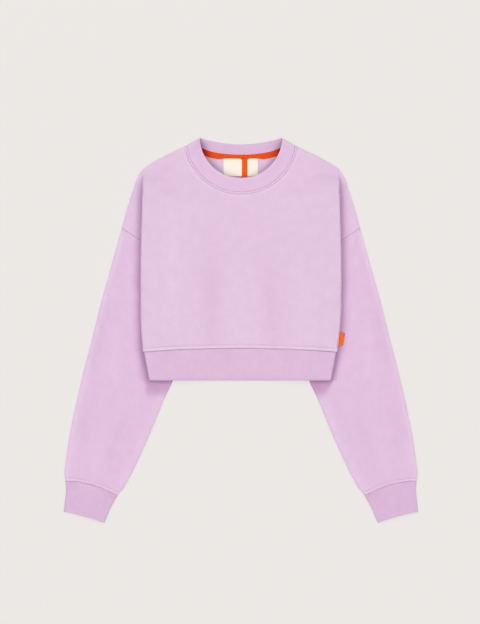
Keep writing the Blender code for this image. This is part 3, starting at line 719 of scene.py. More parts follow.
def stitches(name, lines, pitch, long, radius, finish):
    """Short threads laid end to end along lines, sunk at both ends, as one mesh."""
    sides, rings = 6, 5
    sunk, arch, thin_end, uneven = 0.55, 1.5, 0.45, 0.04
    turns = np.linspace(0, 2 * math.pi, sides, endpoint=False)
    bow = np.sin(np.linspace(0.0, math.pi, rings))
    points, faces = [], []
    shake = np.random.default_rng(7)
    for line in lines:
        far = lengths(line)
        count = max(1, int(far[-1] / pitch))
        middles = (np.arange(count) + 0.5) * far[-1] / count
        middles += shake.normal(0.0, pitch * uneven, count)
        for middle in middles:
            ends = np.clip([middle - long / 2, middle + long / 2], 0.0, far[-1])
            at = np.linspace(ends[0], ends[1], rings)
            spine = np.stack([np.interp(at, far, line[:, k]) for k in range(3)], axis=1)
            run = unit(spine[-1] - spine[0])
            aside = unit(np.cross(run, UP))
            up = np.cross(aside, run)
            spine = spine + up * ((bow - sunk) * radius * arch)[:, None]
            round_it = np.cos(turns)[:, None] * aside + np.sin(turns)[:, None] * up
            first = len(points) * sides
            for k in range(rings):
                thick = radius * (thin_end + (1 - thin_end) * bow[k])
                points.append(spine[k] + round_it * thick)
            for k in range(rings - 1):
                a = first + k * sides
                for s in range(sides):
                    t = (s + 1) % sides
                    faces.append([a + s, a + t, a + sides + t, a + sides + s])
            last = first + (rings - 1) * sides
            faces.append([first + s for s in reversed(range(sides))])
            faces.append([last + s for s in range(sides)])
    return mesh_piece(name, np.concatenate(points), faces, finish)


# ---- materials -----------------------------------------------------------------------

class Shader:
    """A material's nodes, added one by one."""

    def __init__(self, name):
        self.material = bpy.data.materials.new(name)
        self.material.use_nodes = True
        self.tree = self.material.node_tree
        self.surface = self.tree.nodes["Principled BSDF"]

    def node(self, kind, inputs=(), **settings):
        made = self.tree.nodes.new("ShaderNode" + kind)
        for name, value in settings.items():
            setattr(made, name, value)
        for name, value in dict(inputs).items():
            self.feed(made.inputs[name], value)
        return made

    def feed(self, socket, value):
        if isinstance(value, bpy.types.NodeSocket):
            self.tree.links.new(value, socket)
        else:
            socket.default_value = value

    def maths(self, operation, *values):
        made = self.node("Math", operation=operation)
        for socket, value in zip(made.inputs, values):
            self.feed(socket, value)
        return made.outputs[0]

    def noise(self, vector, scale, detail=3.0, roughness=0.55):
        return self.node("TexNoise", {"Vector": vector, "Scale": scale, "Detail": detail,
                                      "Roughness": roughness}).outputs["Fac"]

    def blend(self, factor, first, second):
        made = self.node("Mix", {0: factor}, data_type="RGBA")
        self.feed(made.inputs[6], first)
        self.feed(made.inputs[7], second)
        return made.outputs[2]

    def bump(self, height, strength, distance, below=None):
        inputs = {"Height": height, "Strength": strength, "Distance": distance}
        if below is not None:
            inputs["Normal"] = below
        return self.node("Bump", inputs).outputs["Normal"]

    def set(self, **values):
        for name, value in values.items():
            self.feed(self.surface.inputs[name.replace("_", " ")], value)


def shade(colour, share):
    """A colour made lighter or darker, with full opacity added."""
    return (*(min(1.0, channel * share) for channel in colour[:3]), 1.0)


def knit(shader, weave, wale, course):
    """Height of plain knitting: columns of small slanting loops."""
    apart = shader.node("SeparateXYZ", {"Vector": weave}).outputs
    half = shader.maths("PINGPONG", apart[0], wale / 2)
    slant = shader.maths("MULTIPLY_ADD", half, 1.1, apart[1])
    loops = shader.maths("SINE", shader.maths("MULTIPLY", slant, 2 * math.pi / course))
    column = shader.maths("MULTIPLY", half, 2 / wale)
    return shader.maths("MULTIPLY_ADD", loops, 0.35, column)


TONE_STEP = (0.065, 0.10, 0.068)    # change of red, green and blue for each unit of tone


def cloth_material(name, colour, look, mottling):
    """Soft matt cotton: a fine knit under a nap that is a little uneven in colour."""
    shader = Shader(name)
    weave = shader.node("Attribute", attribute_name="weave").outputs["Vector"]
    patches = shader.noise(weave, 48.0, 3.0, 0.6)
    flecks = shader.noise(weave, 300.0, 3.0, 0.65)
    fibres = shader.noise(weave, 2600.0, 2.0)
    uneven = shader.maths("MULTIPLY_ADD", flecks, 0.7, patches)
    factor = shader.node("MapRange", {"Value": uneven, "From Min": 0.62, "From Max": 1.12})
    base = shader.blend(factor.outputs[0], shade(colour, 1 - mottling),
                        shade(colour, 1 + mottling))
    base = toned(shader, base)
    rough = shader.node("MapRange", {"Value": fibres, "To Min": 0.82, "To Max": 0.98})
    loops = knit(shader, weave, look.wale, look.wale * 0.75)
    normal = shader.bump(loops, 0.35, 0.12 * MM)
    normal = shader.bump(fibres, 0.25, 0.1 * MM, normal)
    shader.set(Base_Color=base, Roughness=rough.outputs[0], Normal=normal,
               Sheen_Weight=look.nap, Sheen_Roughness=0.55, Sheen_Tint=shade(colour, 1.15),
               Specular_IOR_Level=0.1)
    return shader.material


def toned(shader, base):
    """A colour made paler or deeper by the mesh's "tone".

    The tone carries painted shade and painted light, and a few tints of the cloth's own; deeper
    cloth is richer in colour, paler cloth whiter.
    """
    tone = shader.node("Attribute", attribute_name="tone").outputs["Fac"]
    steps = shader.node("VectorMath", {0: tone, 1: TONE_STEP, 2: (1.0, 1.0, 1.0)},
                        operation="MULTIPLY_ADD").outputs[0]
    return shader.node("VectorMath", {0: base, 1: steps}, operation="MULTIPLY").outputs[0]


def tape_material(name, colour, pitch, relief):
    """Woven ribbon: fine ribs across it, a slight gloss, threads that differ a little."""
    shader = Shader(name)
    weave = shader.node("Attribute", attribute_name="weave").outputs["Vector"]
    apart = shader.node("SeparateXYZ", {"Vector": weave}).outputs
    ribs = shader.maths("SINE", shader.maths("MULTIPLY", apart[0], 2 * math.pi / pitch))
    threads = shader.maths("SINE", shader.maths("MULTIPLY", apart[1], 4 * math.pi / pitch))
    height = shader.maths("MULTIPLY_ADD", threads, 0.4, ribs)
    stretched = shader.node("VectorMath", {0: weave, 1: (0.25, 1.0, 1.0)}, operation="MULTIPLY")
    uneven = shader.noise(stretched.outputs[0], 700.0, 3.0)
    # paler on the ribs and deeper between them: painted light and shade on the weave
    deep = shader.node("MapRange", {"Value": height, "From Min": -1.2, "From Max": 1.2,
                                    "To Min": -0.3, "To Max": 0.3})
    factor = shader.maths("ADD", uneven, deep.outputs[0])
    base = toned(shader, shader.blend(factor, shade(colour, 0.92), shade(colour, 1.08)))
    rough = shader.node("MapRange", {"Value": uneven, "To Min": 0.42, "To Max": 0.62})
    normal = shader.bump(height, relief, 0.12 * MM)
    shader.set(Base_Color=base, Roughness=rough.outputs[0], Normal=normal,
               Specular_IOR_Level=0.1, IOR=1.2)
    return shader.material


def thread_material(name, colour):
    """Sewing thread, with a twist along it."""
    shader = Shader(name)
    place = shader.node("NewGeometry").outputs["Position"]
    uneven = shader.noise(place, 1500.0, 2.0)
    base = shader.blend(uneven, shade(colour, 0.94), shade(colour, 1.06))
    normal = shader.bump(uneven, 0.4, 0.08 * MM)
    shader.set(Base_Color=base, Roughness=0.6, Normal=normal, Sheen_Weight=0.1)
    return shader.material


def material(name, build, *values):
    """A material by name, made once."""
    return bpy.data.materials.get(name) or build(name, *values)


# ---- body ----------------------------------------------------------------------------

def shoulder_line():
    return run_on(path(SHOULDER, np.linspace(0.0, 1.0, 121)), length=36 * MM, steps=40)


def body_edge_x(y):
    """x where the body's flat part ends: inside the pleat's bend, or at the side seam."""
    formed = np.sin(np.minimum(pleat_turn(y), math.pi / 2))
    inside = x_at(BODY_EDGE + [SHOULDER[-1]], y) - formed * (PLEAT_BEND + REACH)
    return np.where(y >= UNDERARM_LEVEL, inside, x_at(BODY_EDGE, y))


def along_shoulder(line, start, end):
    """Points from one place on the shoulder to another, finer before the second."""
    far = lengths(line)
    at = start + graded(end - start, SHOULDER_STEPS)
    return np.stack([np.interp(at, far, line[:, k]) for k in range(2)], axis=1)


def front_top_row(distance):
    """Plane points this far inside the neck seam and the shoulder, middle first."""
    shoulder = inset(shoulder_line(), distance)
    far = lengths(shoulder)
    radius = NECK_SEAM_RADIUS + SEAM_GAP / 2 + distance
    from_centre = np.hypot(shoulder[:, 0], shoulder[:, 1] - NECK_CENTRE_Y)
    start = np.interp(radius, from_centre, far)
    past_edge = shoulder[:, 0] - body_edge_x(shoulder[:, 1])
    end = np.interp(0.0, past_edge, far)
    over = along_shoulder(shoulder, start, end)
    turn = math.atan2(over[0, 1] - NECK_CENTRE_Y, over[0, 0])
    angles = np.linspace(-math.pi / 2, turn, NECK_STEPS + 1)[:-1]
    neck = np.stack([np.cos(angles), np.sin(angles)], axis=1) * radius
    return np.concatenate([neck + (0.0, NECK_CENTRE_Y), over])


def back_seam_y(x):
    return NECK_SEAM_END[1] - BACK_SEAM_DROP * (1 - (x / NECK_SEAM_END[0]) ** 2)


def back_top_row(distance):
    """The same for the back, whose neckline is shallow."""
    shoulder = inset(shoulder_line(), distance)
    far = lengths(shoulder)
    start = np.interp(SHOULDER[0].x, shoulder[:, 0], far)
    past_edge = shoulder[:, 0] - body_edge_x(shoulder[:, 1])
    over = along_shoulder(shoulder, start, np.interp(0.0, past_edge, far))
    x = np.linspace(0.0, over[0, 0], NECK_STEPS + 1)[:-1]
    slope = 2 * BACK_SEAM_DROP * x / NECK_SEAM_END[0] ** 2
    lower = distance * np.sqrt(1 + slope ** 2)
    side = smoothstep(x / over[0, 0])
    at_end = SHOULDER[0].y - over[0, 1]
    y = back_seam_y(x) - SEAM_GAP / 2 - lower * (1 - side) - at_end * side
    return np.concatenate([np.stack([x, y], axis=1), over])


def hem_seam(x):
    return HEM_SEAM_Y - HEM_SEAM_DROP * (x / BODY_EDGE[-1].x) ** 2


def hem_row(distance):
    """Plane points this far above the hem seam, middle first."""
    far_y = hem_seam(BODY_EDGE[-1].x) + SEAM_GAP / 2 + distance
    x = graded(float(body_edge_x(far_y)), NECK_STEPS + SHOULDER_STEPS)
    y = hem_seam(x) + SEAM_GAP / 2 + distance
    y[-1] = far_y
    return np.stack([x, y], axis=1)


def body_plan(top_row):
    """Plane points of the left half of the flat body, and its number of pleat rows."""
    upper = np.array([top_row(d) for d in SEAM_ROWS * NECK_SEAM.line])
    lower = np.array([hem_row(d) for d in SEAM_ROWS[::-1] * HEM_SEAM.line])
    near = UNDERARM_Y + UNDERARM_ROWS
    spread = np.linspace(upper[-1, -1, 1], near[0], PLEAT_ROWS)
    below = np.linspace(UNDERARM_Y - SEAM_STEP, lower[0, -1, 1], LOWER_ROWS)
    right_y = np.r_[spread, near[1:], below]
    right = np.stack([body_edge_x(right_y), right_y], axis=1)
    left = beside(upper[-1, 0], lower[0, 0], right)
    middle = patch(upper[-1], lower[0], left, right)
    plan = np.concatenate([upper, middle[1:-1], lower])
    return plan, int((plan[:, -1, 1] >= UNDERARM_LEVEL).sum())


def lifted(plan, height):
    """Plane points with a height for each."""
    return np.concatenate([plan, height(plan[..., 0], plan[..., 1])[..., None]], axis=-1)


def pleat_block(start, first_row_y):
    """From the body's edge, under it and out again to the outer edge of the shoulder.

    Middle points and outward directions, a row for each starting point.
    """
    y = start[:, 1]
    turn = pleat_turn(y)[:, None]
    out = np.array([1.0, 0.0, 0.0])
    top_y = PLEAT_START_Y - PLEAT_FORMING
    fold_top = np.array([inner_fold(top_y), top_y])
    fold_end = np.array(UNDERARM_BEHIND)
    share = np.maximum(0.0, (top_y - y) / (top_y - UNDERARM_Y))[:, None]
    run = unit(fold_end - fold_top)
    square = np.array([-run[1], run[0], 0.0])
    square = unit(out + (square - out) * smoothstep(turn / math.pi))
    bends = [turn * k / BEND_STEPS for k in range(BEND_STEPS + 1)]

    points = [start + PLEAT_BEND * (np.sin(a) * out - (1 - np.cos(a)) * UP) for a in bends]
    ways = [np.sin(a) * out + np.cos(a) * UP for a in bends]
    inner = points[-1].copy()
    inner[:, :2] = np.where(share > 0, fold_top + (fold_end - fold_top) * share, inner[:, :2])
    for k in range(1, RETURN_STEPS + 1):
        points.append(points[BEND_STEPS] + (inner - points[BEND_STEPS]) * k / RETURN_STEPS)
        ways.append(ways[BEND_STEPS])
    for a in reversed(bends[:-1]):
        points.append(inner + PLEAT_BEND * ((np.sin(turn) - np.sin(a)) * square
                                            + (np.cos(turn) - np.cos(a)) * UP))
        ways.append(np.sin(a) * square + np.cos(a) * UP)

    cap = cap_points(points[-1], y, first_row_y)
    points += cap
    ways += [np.tile(UP, (len(y), 1))] * len(cap)
    return np.stack(points, axis=1), np.stack(ways, axis=1)


def cap_points(start, y, first_row_y):
    """Columns of points from the hidden fold to the outer edge of the shoulder."""
    depth = (first_row_y - y) / (first_row_y - UNDERARM_Y)
    end = lifted(path(CAP_EDGE, CAP_START + (1 - CAP_START) * depth), on_floor)
    end[:, 2] = start[:, 2]
    wide = np.linalg.norm(end - start, axis=1)
    seen = np.minimum(CAP_VISIBLE, CAP_VISIBLE_SHARE * wide)[:, None]
    from_end = graded(CAP_VISIBLE, CAP_STEPS)[1:][None, :] / CAP_VISIBLE
    hidden = (wide[:, None] - seen) * np.linspace(0, 1, RETURN_STEPS + 1)[None, 1:]
    at = np.concatenate([hidden, wide[:, None] - seen * (1 - from_end)], axis=1)
    at /= wide[:, None]
    corner = np.array(CAP_EDGE[0])
    chord = corner + (end[0, :2] - corner) * at[0][:, None]
    round_top = path(CAP_EDGE, at[0] * CAP_START) - chord
    fading = (1 - smoothstep(depth / CAP_ROUND))[:, None]
    columns = []
    for k in range(at.shape[1]):
        column = start + (end - start) * at[:, k:k + 1]
        column[:, :2] += round_top[k] * fading
        columns.append(column)
    return columns


def shoulder_distance(x, y):
    """How far plane points lie inside the shoulder seam."""
    line = shoulder_line()
    slope = math.atan2(SHOULDER[0].y - SHOULDER[-1].y, SHOULDER[-1].x - SHOULDER[0].x)
    return (np.interp(np.abs(x), line[:, 0], line[:, 1]) - y) * math.cos(slope)


def neck_distance(x, y, is_front):
    """How far plane points lie outside the neck seam."""
    if is_front:
        return np.hypot(x, y - NECK_CENTRE_Y) - NECK_SEAM_RADIUS - SEAM_GAP / 2
    below = back_seam_y(x) - SEAM_GAP / 2 - y
    return np.where(x > NECK_SEAM_END[0], np.hypot(below, x - NECK_SEAM_END[0]),
                    np.maximum(below, 0.0))


def flat_layer(x, y, is_front):
    """The flat part's outer and inner offsets and tone, and how far it is from its edges.

    The last is 0 on the shoulder and side edges and 1 just inside them.
    """
    neck_far = neck_distance(x, y, is_front)
    hem_far = y - hem_seam(x) - SEAM_GAP / 2
    shoulder_far = shoulder_distance(x, y)
    side_radius = REACH + PLEAT_BEND * smoothstep((y - UNDERARM_Y) / UNDERARM_EASE + 1)
    side_far = np.where(y < UNDERARM_LEVEL, body_edge_x(y) - x, 1.0)
    clear = lip(shoulder_far, REACH) * lip(side_far, side_radius)
    relief = clear * (seam_section(neck_far, NECK_SEAM) + seam_section(hem_far, HEM_SEAM))
    outer = SEAM_ROLL + (REACH - SEAM_ROLL) * clear + relief
    inner = SEAM_CLOSED + (INSIDE - SEAM_CLOSED) * clear
    tone = clear * (seam_tone(neck_far, NECK_SEAM) + seam_tone(hem_far, HEM_SEAM))
    tone -= SHOULDER_SEAM_TONE * (1 - smoothstep(shoulder_far / SHOULDER_SEAM_REACH))
    return outer, inner, tone, clear


def pleat_layer(pleat):
    """The pleat's outer and inner offsets and tone, and how far it is from its outer edge."""
    from_top = lengths(pleat) * SHOULDER_SLANT
    from_end = from_last(pleat, axis=1)
    from_armhole = from_last(pleat)
    clear = lip(from_top, REACH) * lip(from_end, REACH)
    past_bend = set_in(lengths(pleat, axis=1), ARMHOLE_SHOWS)
    groove = seam_groove(from_armhole, ARMHOLE_SEAM) * past_bend
    outer = SEAM_ROLL + (REACH - SEAM_ROLL - groove) * clear
    inner = SEAM_CLOSED + (INSIDE - SEAM_CLOSED) * clear
    return outer, inner, seam_tone(from_armhole, ARMHOLE_SEAM) * past_bend, from_end


def panel(name, facing, finish):
    """Front (facing 1) or back (facing -1), with the lines that its stitches follow."""
    is_front = facing > 0
    plan, pleat_rows = body_plan(front_top_row if is_front else back_top_row)
    middle = lifted(plan, level)
    x, y = plan[..., 0], plan[..., 1]
    flat_outer, flat_inner, tone, clear = flat_layer(x, y, is_front)
    pleat, ways = pleat_block(middle[:pleat_rows, -1], middle[0, -1, 1])
    pleat_outer, pleat_inner, under_tone, from_end = pleat_layer(pleat)
    pleat[-1, :BEND_STEPS + 1, 1] -= PLEAT_LAP * BEND_RISE
    # painted shade on the shoulder's cap, beside the body's edge
    under_tone += crease_shade(pleat[..., 0], pleat[..., 1]) * (from_end < CAP_VISIBLE)
    behind = lengths(pleat, axis=1) + x[:pleat_rows, -1:]

    outers, inners, weaves, tones, inner_tones, faces, lines = [], [], [], [], [], [], []
    count = 0
    for side in (1, -1):
        mirror = np.array([side, 1.0, 1.0])
        sx = x * side
        lift = front_lift(sx, y) if is_front else np.zeros_like(x)
        flat = middle * mirror
        flat[..., 0] += lean(y)
        outer = flat + UP * (facing * flat_outer + lift)[..., None]
        inner = flat + UP * (facing * flat_inner + lift)[..., None]
        turned = ways * mirror
        bend_lift = np.zeros(pleat.shape[:2])
        bend_lift[:, :BEND_STEPS + 1] = lift[:pleat_rows, -1:] * BEND_FALL
        under = pleat * mirror + UP * bend_lift[..., None]
        under[..., 0] += lean(under[..., 1])
        under_outer = under + facing * turned * pleat_outer[..., None]
        under_inner = under + facing * turned * pleat_inner[..., None]
        under_outer[:, 0] = outer[:pleat_rows, -1]
        under_inner[:, 0] = inner[:pleat_rows, -1]
        # painted light and shade on the front's soft folds; on the back's inside, painted shade
        # under the neck's open edge
        fold = clear * FOLD_TONE * folds(BODY_FOLDS, sx, y) if is_front else 0 * x
        rim = 0 * x if is_front else rim_shade(sx, y) + INSIDE_BACK_SHADE
        for block_outer, block_inner, across, band, inner_band in (
                (outer, inner, sx, tone + fold, rim),
                (under_outer, under_inner, behind * side, under_tone, 0 * under_tone)):
            rows, columns = block_outer.shape[:2]
            faces.append(grid_faces(rows, columns, count, side * facing < 0))
            count += rows * columns
            outers.append(block_outer.reshape(-1, 3))
            inners.append(block_inner.reshape(-1, 3))
            block_y = block_outer[..., 1]
            weaves.append(np.stack([across, block_y, 0 * block_y], axis=-1).reshape(-1, 3))
            tones.append(band.reshape(-1))
            inner_tones.append(inner_band.reshape(-1))
        lines.append({
            "neck": [outer[k, :NECK_STEPS + 1] for k in (NEAR_STITCHES, FAR_STITCHES)],
            "hem": [outer[-1 - k, :-4] for k in (NEAR_STITCHES, FAR_STITCHES)]})
    outers, inners, faces, weaves, tones, inner_tones = (
        np.concatenate(blocks) for blocks in (outers, inners, faces, weaves, tones, inner_tones))
    piece = shell(name, outers, inners, faces, weaves, tones, finish, inner_tones)
    return piece, lines


# ---- flattened tubes: sleeves, cuffs, hem and neck -----------------------------------

def ring(front, back, height, out_left, out_right, side_steps):
    """Middle points and outward directions round a tube pressed flat.

    Front and back are plane grids over each other; half a circle joins them at each side.
    The last value falls from 1 on the front to 0 on the back.
    """
    rows = len(front)

    def side(start, end, out):
        found = []
        for k in range(1, side_steps + 1):
            a = math.pi * k / (side_steps + 1)
            plan = start * (1 + math.cos(a)) / 2 + end * (1 - math.cos(a)) / 2
            found.append((plan, a, out))
        return found

    columns = [(front[:, k], 0.0, out_right) for k in range(front.shape[1])]
    columns += side(front[:, -1], back[:, -1], out_right)
    columns += [(back[:, k], math.pi, out_right) for k in reversed(range(back.shape[1]))]
    columns += [(plan, math.pi - a, out) for plan, a, out in
                side(back[:, 0], front[:, 0], out_left)]
    middle = np.stack([lifted(plan, height) for plan, _, _ in columns], axis=1)
    flat_out = [np.concatenate([np.broadcast_to(out, (rows, 2)), np.zeros((rows, 1))], axis=1)
                for _, _, out in columns]
    ways = np.stack([math.sin(a) * side_out + math.cos(a) * UP
                     for (_, a, _), side_out in zip(columns, flat_out)], axis=1)
    top = np.array([(1 + math.cos(a)) / 2 for _, a, _ in columns])
    return middle, ways, np.broadcast_to(top, middle.shape[:2])


def tube(name, middle, ways, lift, outer_off, inner_off, tone, finish, inner_tone=0.0):
    """A shell round a tube's middle points, and the points of its outer face."""
    outer = middle + ways * outer_off[..., None] + UP * lift[..., None]
    inner = middle + ways * inner_off[..., None] + UP * lift[..., None]
    rows, columns = outer.shape[:2]
    round_it = lengths(middle[rows // 2] + ways[rows // 2] * REACH)
    down = lengths(middle[:, columns // 4])
    weave = np.stack([np.broadcast_to(round_it, (rows, columns)),
                      np.broadcast_to(down[:, None], (rows, columns)),
                      np.zeros((rows, columns))], axis=-1)
    piece = shell(name, outer, inner, ring_faces(rows, columns), weave, tone, finish,
                  inner_tone)
    return piece, outer


def mirrored(plan, side):
    """The plan as it is on the left, or mirrored with its columns turned round."""
    return plan if side > 0 else (plan * np.array([-1.0, 1.0]))[:, ::-1]


def pressed(plan, height, side_steps):
    """A ring over one plane grid whose first and last columns are the tube's edges.

    After its points and directions come how much of a rise the front half takes for its
    place across, the share that falls from front to back, and how far inside the edges
    the front half lies.
    """
    across = unit(plan[:, -1] - plan[:, 0])
    share = shares_across(plan)
    wide = np.linalg.norm(plan[:, -1] - plan[:, 0], axis=1)
    inside = np.minimum(share, 1 - share) * wide[:, None]
    plan = plan + (across * REACH)[:, None] * (1 - 2 * share[..., None])
    middle, ways, top = ring(plan, plan, height, -across, across, side_steps)
    puff, far = np.zeros(middle.shape[:2]), np.zeros(middle.shape[:2])
    puff[:, :plan.shape[1]] = np.sqrt(np.clip(4 * share * (1 - share), 0.0, 1.0))
    far[:, :plan.shape[1]] = inside
    return middle, ways, puff, top, far


def shares_across(plan):
    far = lengths(plan, axis=1)
    return far / far[:, -1:]


def softly_spaced(steps):
    """Shares from 0 to 1, closer together near both ends."""
    even = np.linspace(0.0, 1.0, steps + 1)
    return 0.5 * even + 0.25 * (1 - np.cos(math.pi * even))


def sleeve_plan():
    """Plane points of the left sleeve, armhole seam to cuff seam, inner edge first."""
    long = lengths(path(SLEEVE_OUTER, np.linspace(0, 1, 60)))[-1]
    start = (EDGE_STEPS[-1] + EDGE_STEPS[::-1]) / long
    end = 1 - SEAM_ROWS[::-1] * CUFF_SEAM.line / long
    at = np.r_[start, np.linspace(start[-1], end[0], SLEEVE_ROWS + 2)[1:-1], end]
    across = softly_spaced(SLEEVE_STEPS)
    left, right = path(SLEEVE_INNER, at), path(SLEEVE_OUTER, at)
    top = left[0] + (right[0] - left[0]) * across[:, None]
    top += unit(np.array([ARMHOLE_TOP[1] - UNDERARM_BEHIND[1],
                          UNDERARM_BEHIND[0] - ARMHOLE_TOP[0]])) * SEAM_GAP
    share = across[:, None]
    bottom = left[-1] * (1 - share) + right[-1] * share
    bottom[:, 1] += (4 * CUFF_SEAM_BOW * share * (1 - share))[:, 0] + SEAM_GAP / 2
    left[0], right[0] = top[0], top[-1]
    left[-1], right[-1] = bottom[0], bottom[-1]
    return patch(top, bottom, left, right, across)


def sleeve(name, side, finish):
    """A sleeve, and the lines that the stitches above its cuff follow."""
    middle, ways, puff, _, inside = pressed(mirrored(sleeve_plan(), side), on_floor,
                                            SIDE_STEPS)
    x, y = middle[..., 0], middle[..., 1]
    from_top = lengths(middle)
    from_cuff = from_last(middle)
    clear = smoothstep(sleeve_loft(x, y) / SLEEVE_LOFT)
    soft = smoothstep(from_cuff / FOLDS_ABOVE_CUFF) * clear
    creased = folds(SLEEVE_FOLDS, side * x, y)
    lift = puff * (sleeve_loft(x, y) + soft * (creased + lie(x, y) + SLEEVE_SOFT_RISE))
    relief = seam_section(from_cuff, CUFF_SEAM) - seam_groove(from_top, ARMHOLE_SEAM)
    tone = seam_tone(from_cuff, CUFF_SEAM) + seam_tone(from_top, ARMHOLE_SEAM)
    # painted highlight just inside both edges of the sleeve
    near_inner = np.abs(x) < np.abs(x).mean(axis=1, keepdims=True)
    rim = np.where(near_inner, *(paler.tone - paler.tone * set_in(inside, paler.onset)
                                 for paler in (SLEEVE_INNER_RIM, SLEEVE_OUTER_RIM)))
    rim = rim * smoothstep(from_top / SLEEVE_RIM_START)
    rim = rim * smoothstep(clear_of_body(x, y) / EDGE_FLAT)
    # painted highlight at the edges, painted shade in the crease beside the body, painted light
    # and shade on the folds
    tone += rim + crease_shade(x, y) + FOLD_TONE * clear * creased
    piece, outer = tube(name, middle, ways, lift, REACH + relief, np.full_like(x, INSIDE),
                        tone, finish)
    lines = [outer[-1 - k, 1:SLEEVE_STEPS] for k in (NEAR_STITCHES, FAR_STITCHES)]
    return piece, lines


def rib_rows(long, steps):
    """Shares down a rib band: fine at its seam, even, then fine at its open edge."""
    fine = EDGE_STEPS[::-1][:-1]
    even = np.linspace(fine[-1], long - fine[-1], steps)[1:-1]
    return np.r_[fine, even, long - fine[::-1]] / long


def rib_offsets(middle, seam, look):
    """Outer and inner offsets of a rib band: ridges, the seam's groove, the round edge."""
    ridge = np.array(RIB_POINTS)[np.arange(middle.shape[1]) % len(RIB_POINTS)]
    from_seam = lengths(middle)
    from_edge = from_last(middle)
    calm = smoothstep(from_seam / RIB_START) * smoothstep(from_edge / RIB_END)
    half = CLOTH / 2 * lip(from_edge, RIB_EDGE_ROUND)
    outer = MIDDLE + half + look.rib_depth * ridge[None] * calm
    return outer - seam_groove(from_seam, seam), MIDDLE - half


def seam_ripples(x, from_seam, seed):
    """Soft waves that a fuller piece presses into a rib band, gone by its open edge."""
    wave = (np.sin(x / 0.0173 + seed) + 0.8 * np.sin(x / 0.0101 + 2.3 * seed)
            + 0.6 * np.sin(x / 0.0291 - seed))
    return (RIPPLE_HEIGHT * wave * np.exp(-from_seam / RIPPLE_REACH)
            * smoothstep(from_seam / RIPPLE_START))


def cuff(name, side, look, finish):
    """A rib cuff below its sleeve."""
    at = rib_rows(CUFF_DEPTH, CUFF_ROWS)
    top = bowed(SLEEVE_INNER[-1], SLEEVE_OUTER[-1], CUFF_SEAM_BOW, CUFF_STEPS)
    top = top - (0, SEAM_GAP / 2)
    bottom = bowed(CUFF_INNER[-1], CUFF_OUTER[-1], CUFF_EDGE_BOW, CUFF_STEPS)
    left, right = path(CUFF_INNER, at), path(CUFF_OUTER, at)
    left[0], right[0] = top[0], top[-1]
    plan = patch(top, bottom, left, right, np.linspace(0, 1, CUFF_STEPS + 1))
    middle, ways, puff, _, _ = pressed(mirrored(plan, side), on_floor, RIB_SIDE_STEPS)
    x, y = middle[..., 0], middle[..., 1]
    outer_off, inner_off = rib_offsets(middle, CUFF_SEAM, look)
    from_seam = lengths(middle)
    ripples = seam_ripples(x, from_seam, 1.0 + side)
    lift = puff * (sleeve_loft(x, y) + ripples)
    # a deeper tint of the cuff's own, painted shade beside the seam, painted light and shade on
    # the ripples
    tone = CUFF_TONE - CUFF_SEAM_TONE * np.exp(-from_seam / CUFF_SEAM_REACH)
    tone = tone + RIPPLE_TONE * ripples
    return tube(name, middle, ways, lift, outer_off, inner_off, tone, finish)[0]


def hem_band(name, look, finish):
    """The rib band below the body, a little narrower at its open edge."""
    at = rib_rows(HEM_DEPTH, HEM_ROWS)[:, None]
    top_x = np.linspace(-HEM_TOP_HALF, HEM_TOP_HALF, HEM_STEPS + 1)
    top = np.stack([top_x, hem_seam(top_x) - SEAM_GAP / 2], axis=1)
    bottom = np.linspace((-HEM_HALF, HEM_EDGE_Y), (HEM_HALF, HEM_EDGE_Y), HEM_STEPS + 1)
    left = top[0] * (1 - at) + bottom[0] * at
    right = top[-1] * (1 - at) + bottom[-1] * at
    middle, ways, puff, on_top, inside = pressed(patch(top, bottom, left, right), level,
                                                 RIB_SIDE_STEPS)
    x, y = middle[..., 0], middle[..., 1]
    outer_off, inner_off = rib_offsets(middle, HEM_SEAM, look)
    from_seam = lengths(middle)
    from_edge = from_last(middle)
    ripples = seam_ripples(x, from_seam, 0.4)
    lift = front_lift(x, y, inside + REACH) + puff * ripples
    lift = np.maximum(lift, 0.0) * on_top
    middle[..., 0] += lean(y)
    # painted light and shade on the ripples, painted shade beside the seam and along the open
    # edge
    tone = RIPPLE_TONE * ripples - HEM_SEAM_TONE * np.exp(-(from_seam / HEM_SEAM_REACH) ** 2)
    tone -= HEM_EDGE_TONE * np.exp(-(from_edge / HEM_EDGE_REACH) ** 2)
    return tube(name, middle, ways, lift, outer_off, inner_off, tone, finish)[0]


def neckband_plans():
    """Plane points of the neckband's front and back halves, neck seam to open edge.

    With them, the direction square to the fold that joins them on the left shoulder.
    """
    edge_end, seam_end = np.array(NECK_EDGE_END), np.array(NECK_SEAM_END)
    fold = unit(seam_end - edge_end)
    out = np.array([-fold[1], fold[0]])
    centre = np.array([0.0, NECK_CENTRE_Y])
    edge_radius = NECK_EDGE_RADIUS + RIM_SPREAD
    front_plan, back_plan = [], []
    for share in 1 - rib_rows(NECK_DEPTH, NECK_ROWS):
        end = edge_end + (seam_end - edge_end) * share
        radius = edge_radius + (NECK_SEAM_RADIUS - edge_radius) * share
        radius -= SEAM_GAP / 2 * share
        to_fold = (end - centre) @ out - REACH
        turn = math.atan2(out[1], out[0]) - math.acos(to_fold / radius)
        angles = np.linspace(-math.pi - turn, turn, NECK_FRONT_STEPS + 1)
        front_plan.append(centre + radius * np.stack([np.cos(angles), np.sin(angles)], axis=1))
        drop = BACK_EDGE_DROP + (BACK_SEAM_DROP - BACK_EDGE_DROP) * share
        reach = 1 - REACH / (out @ (end[0], 2 * drop))
        across = np.linspace(-reach, reach, NECK_BACK_STEPS + 1)
        back = np.stack([end[0] * across, end[1] - drop * (1 - across ** 2)], axis=1)
        back[:, 1] += SEAM_GAP / 2 * share
        back_plan.append(back)
    return np.array(front_plan), np.array(back_plan), out


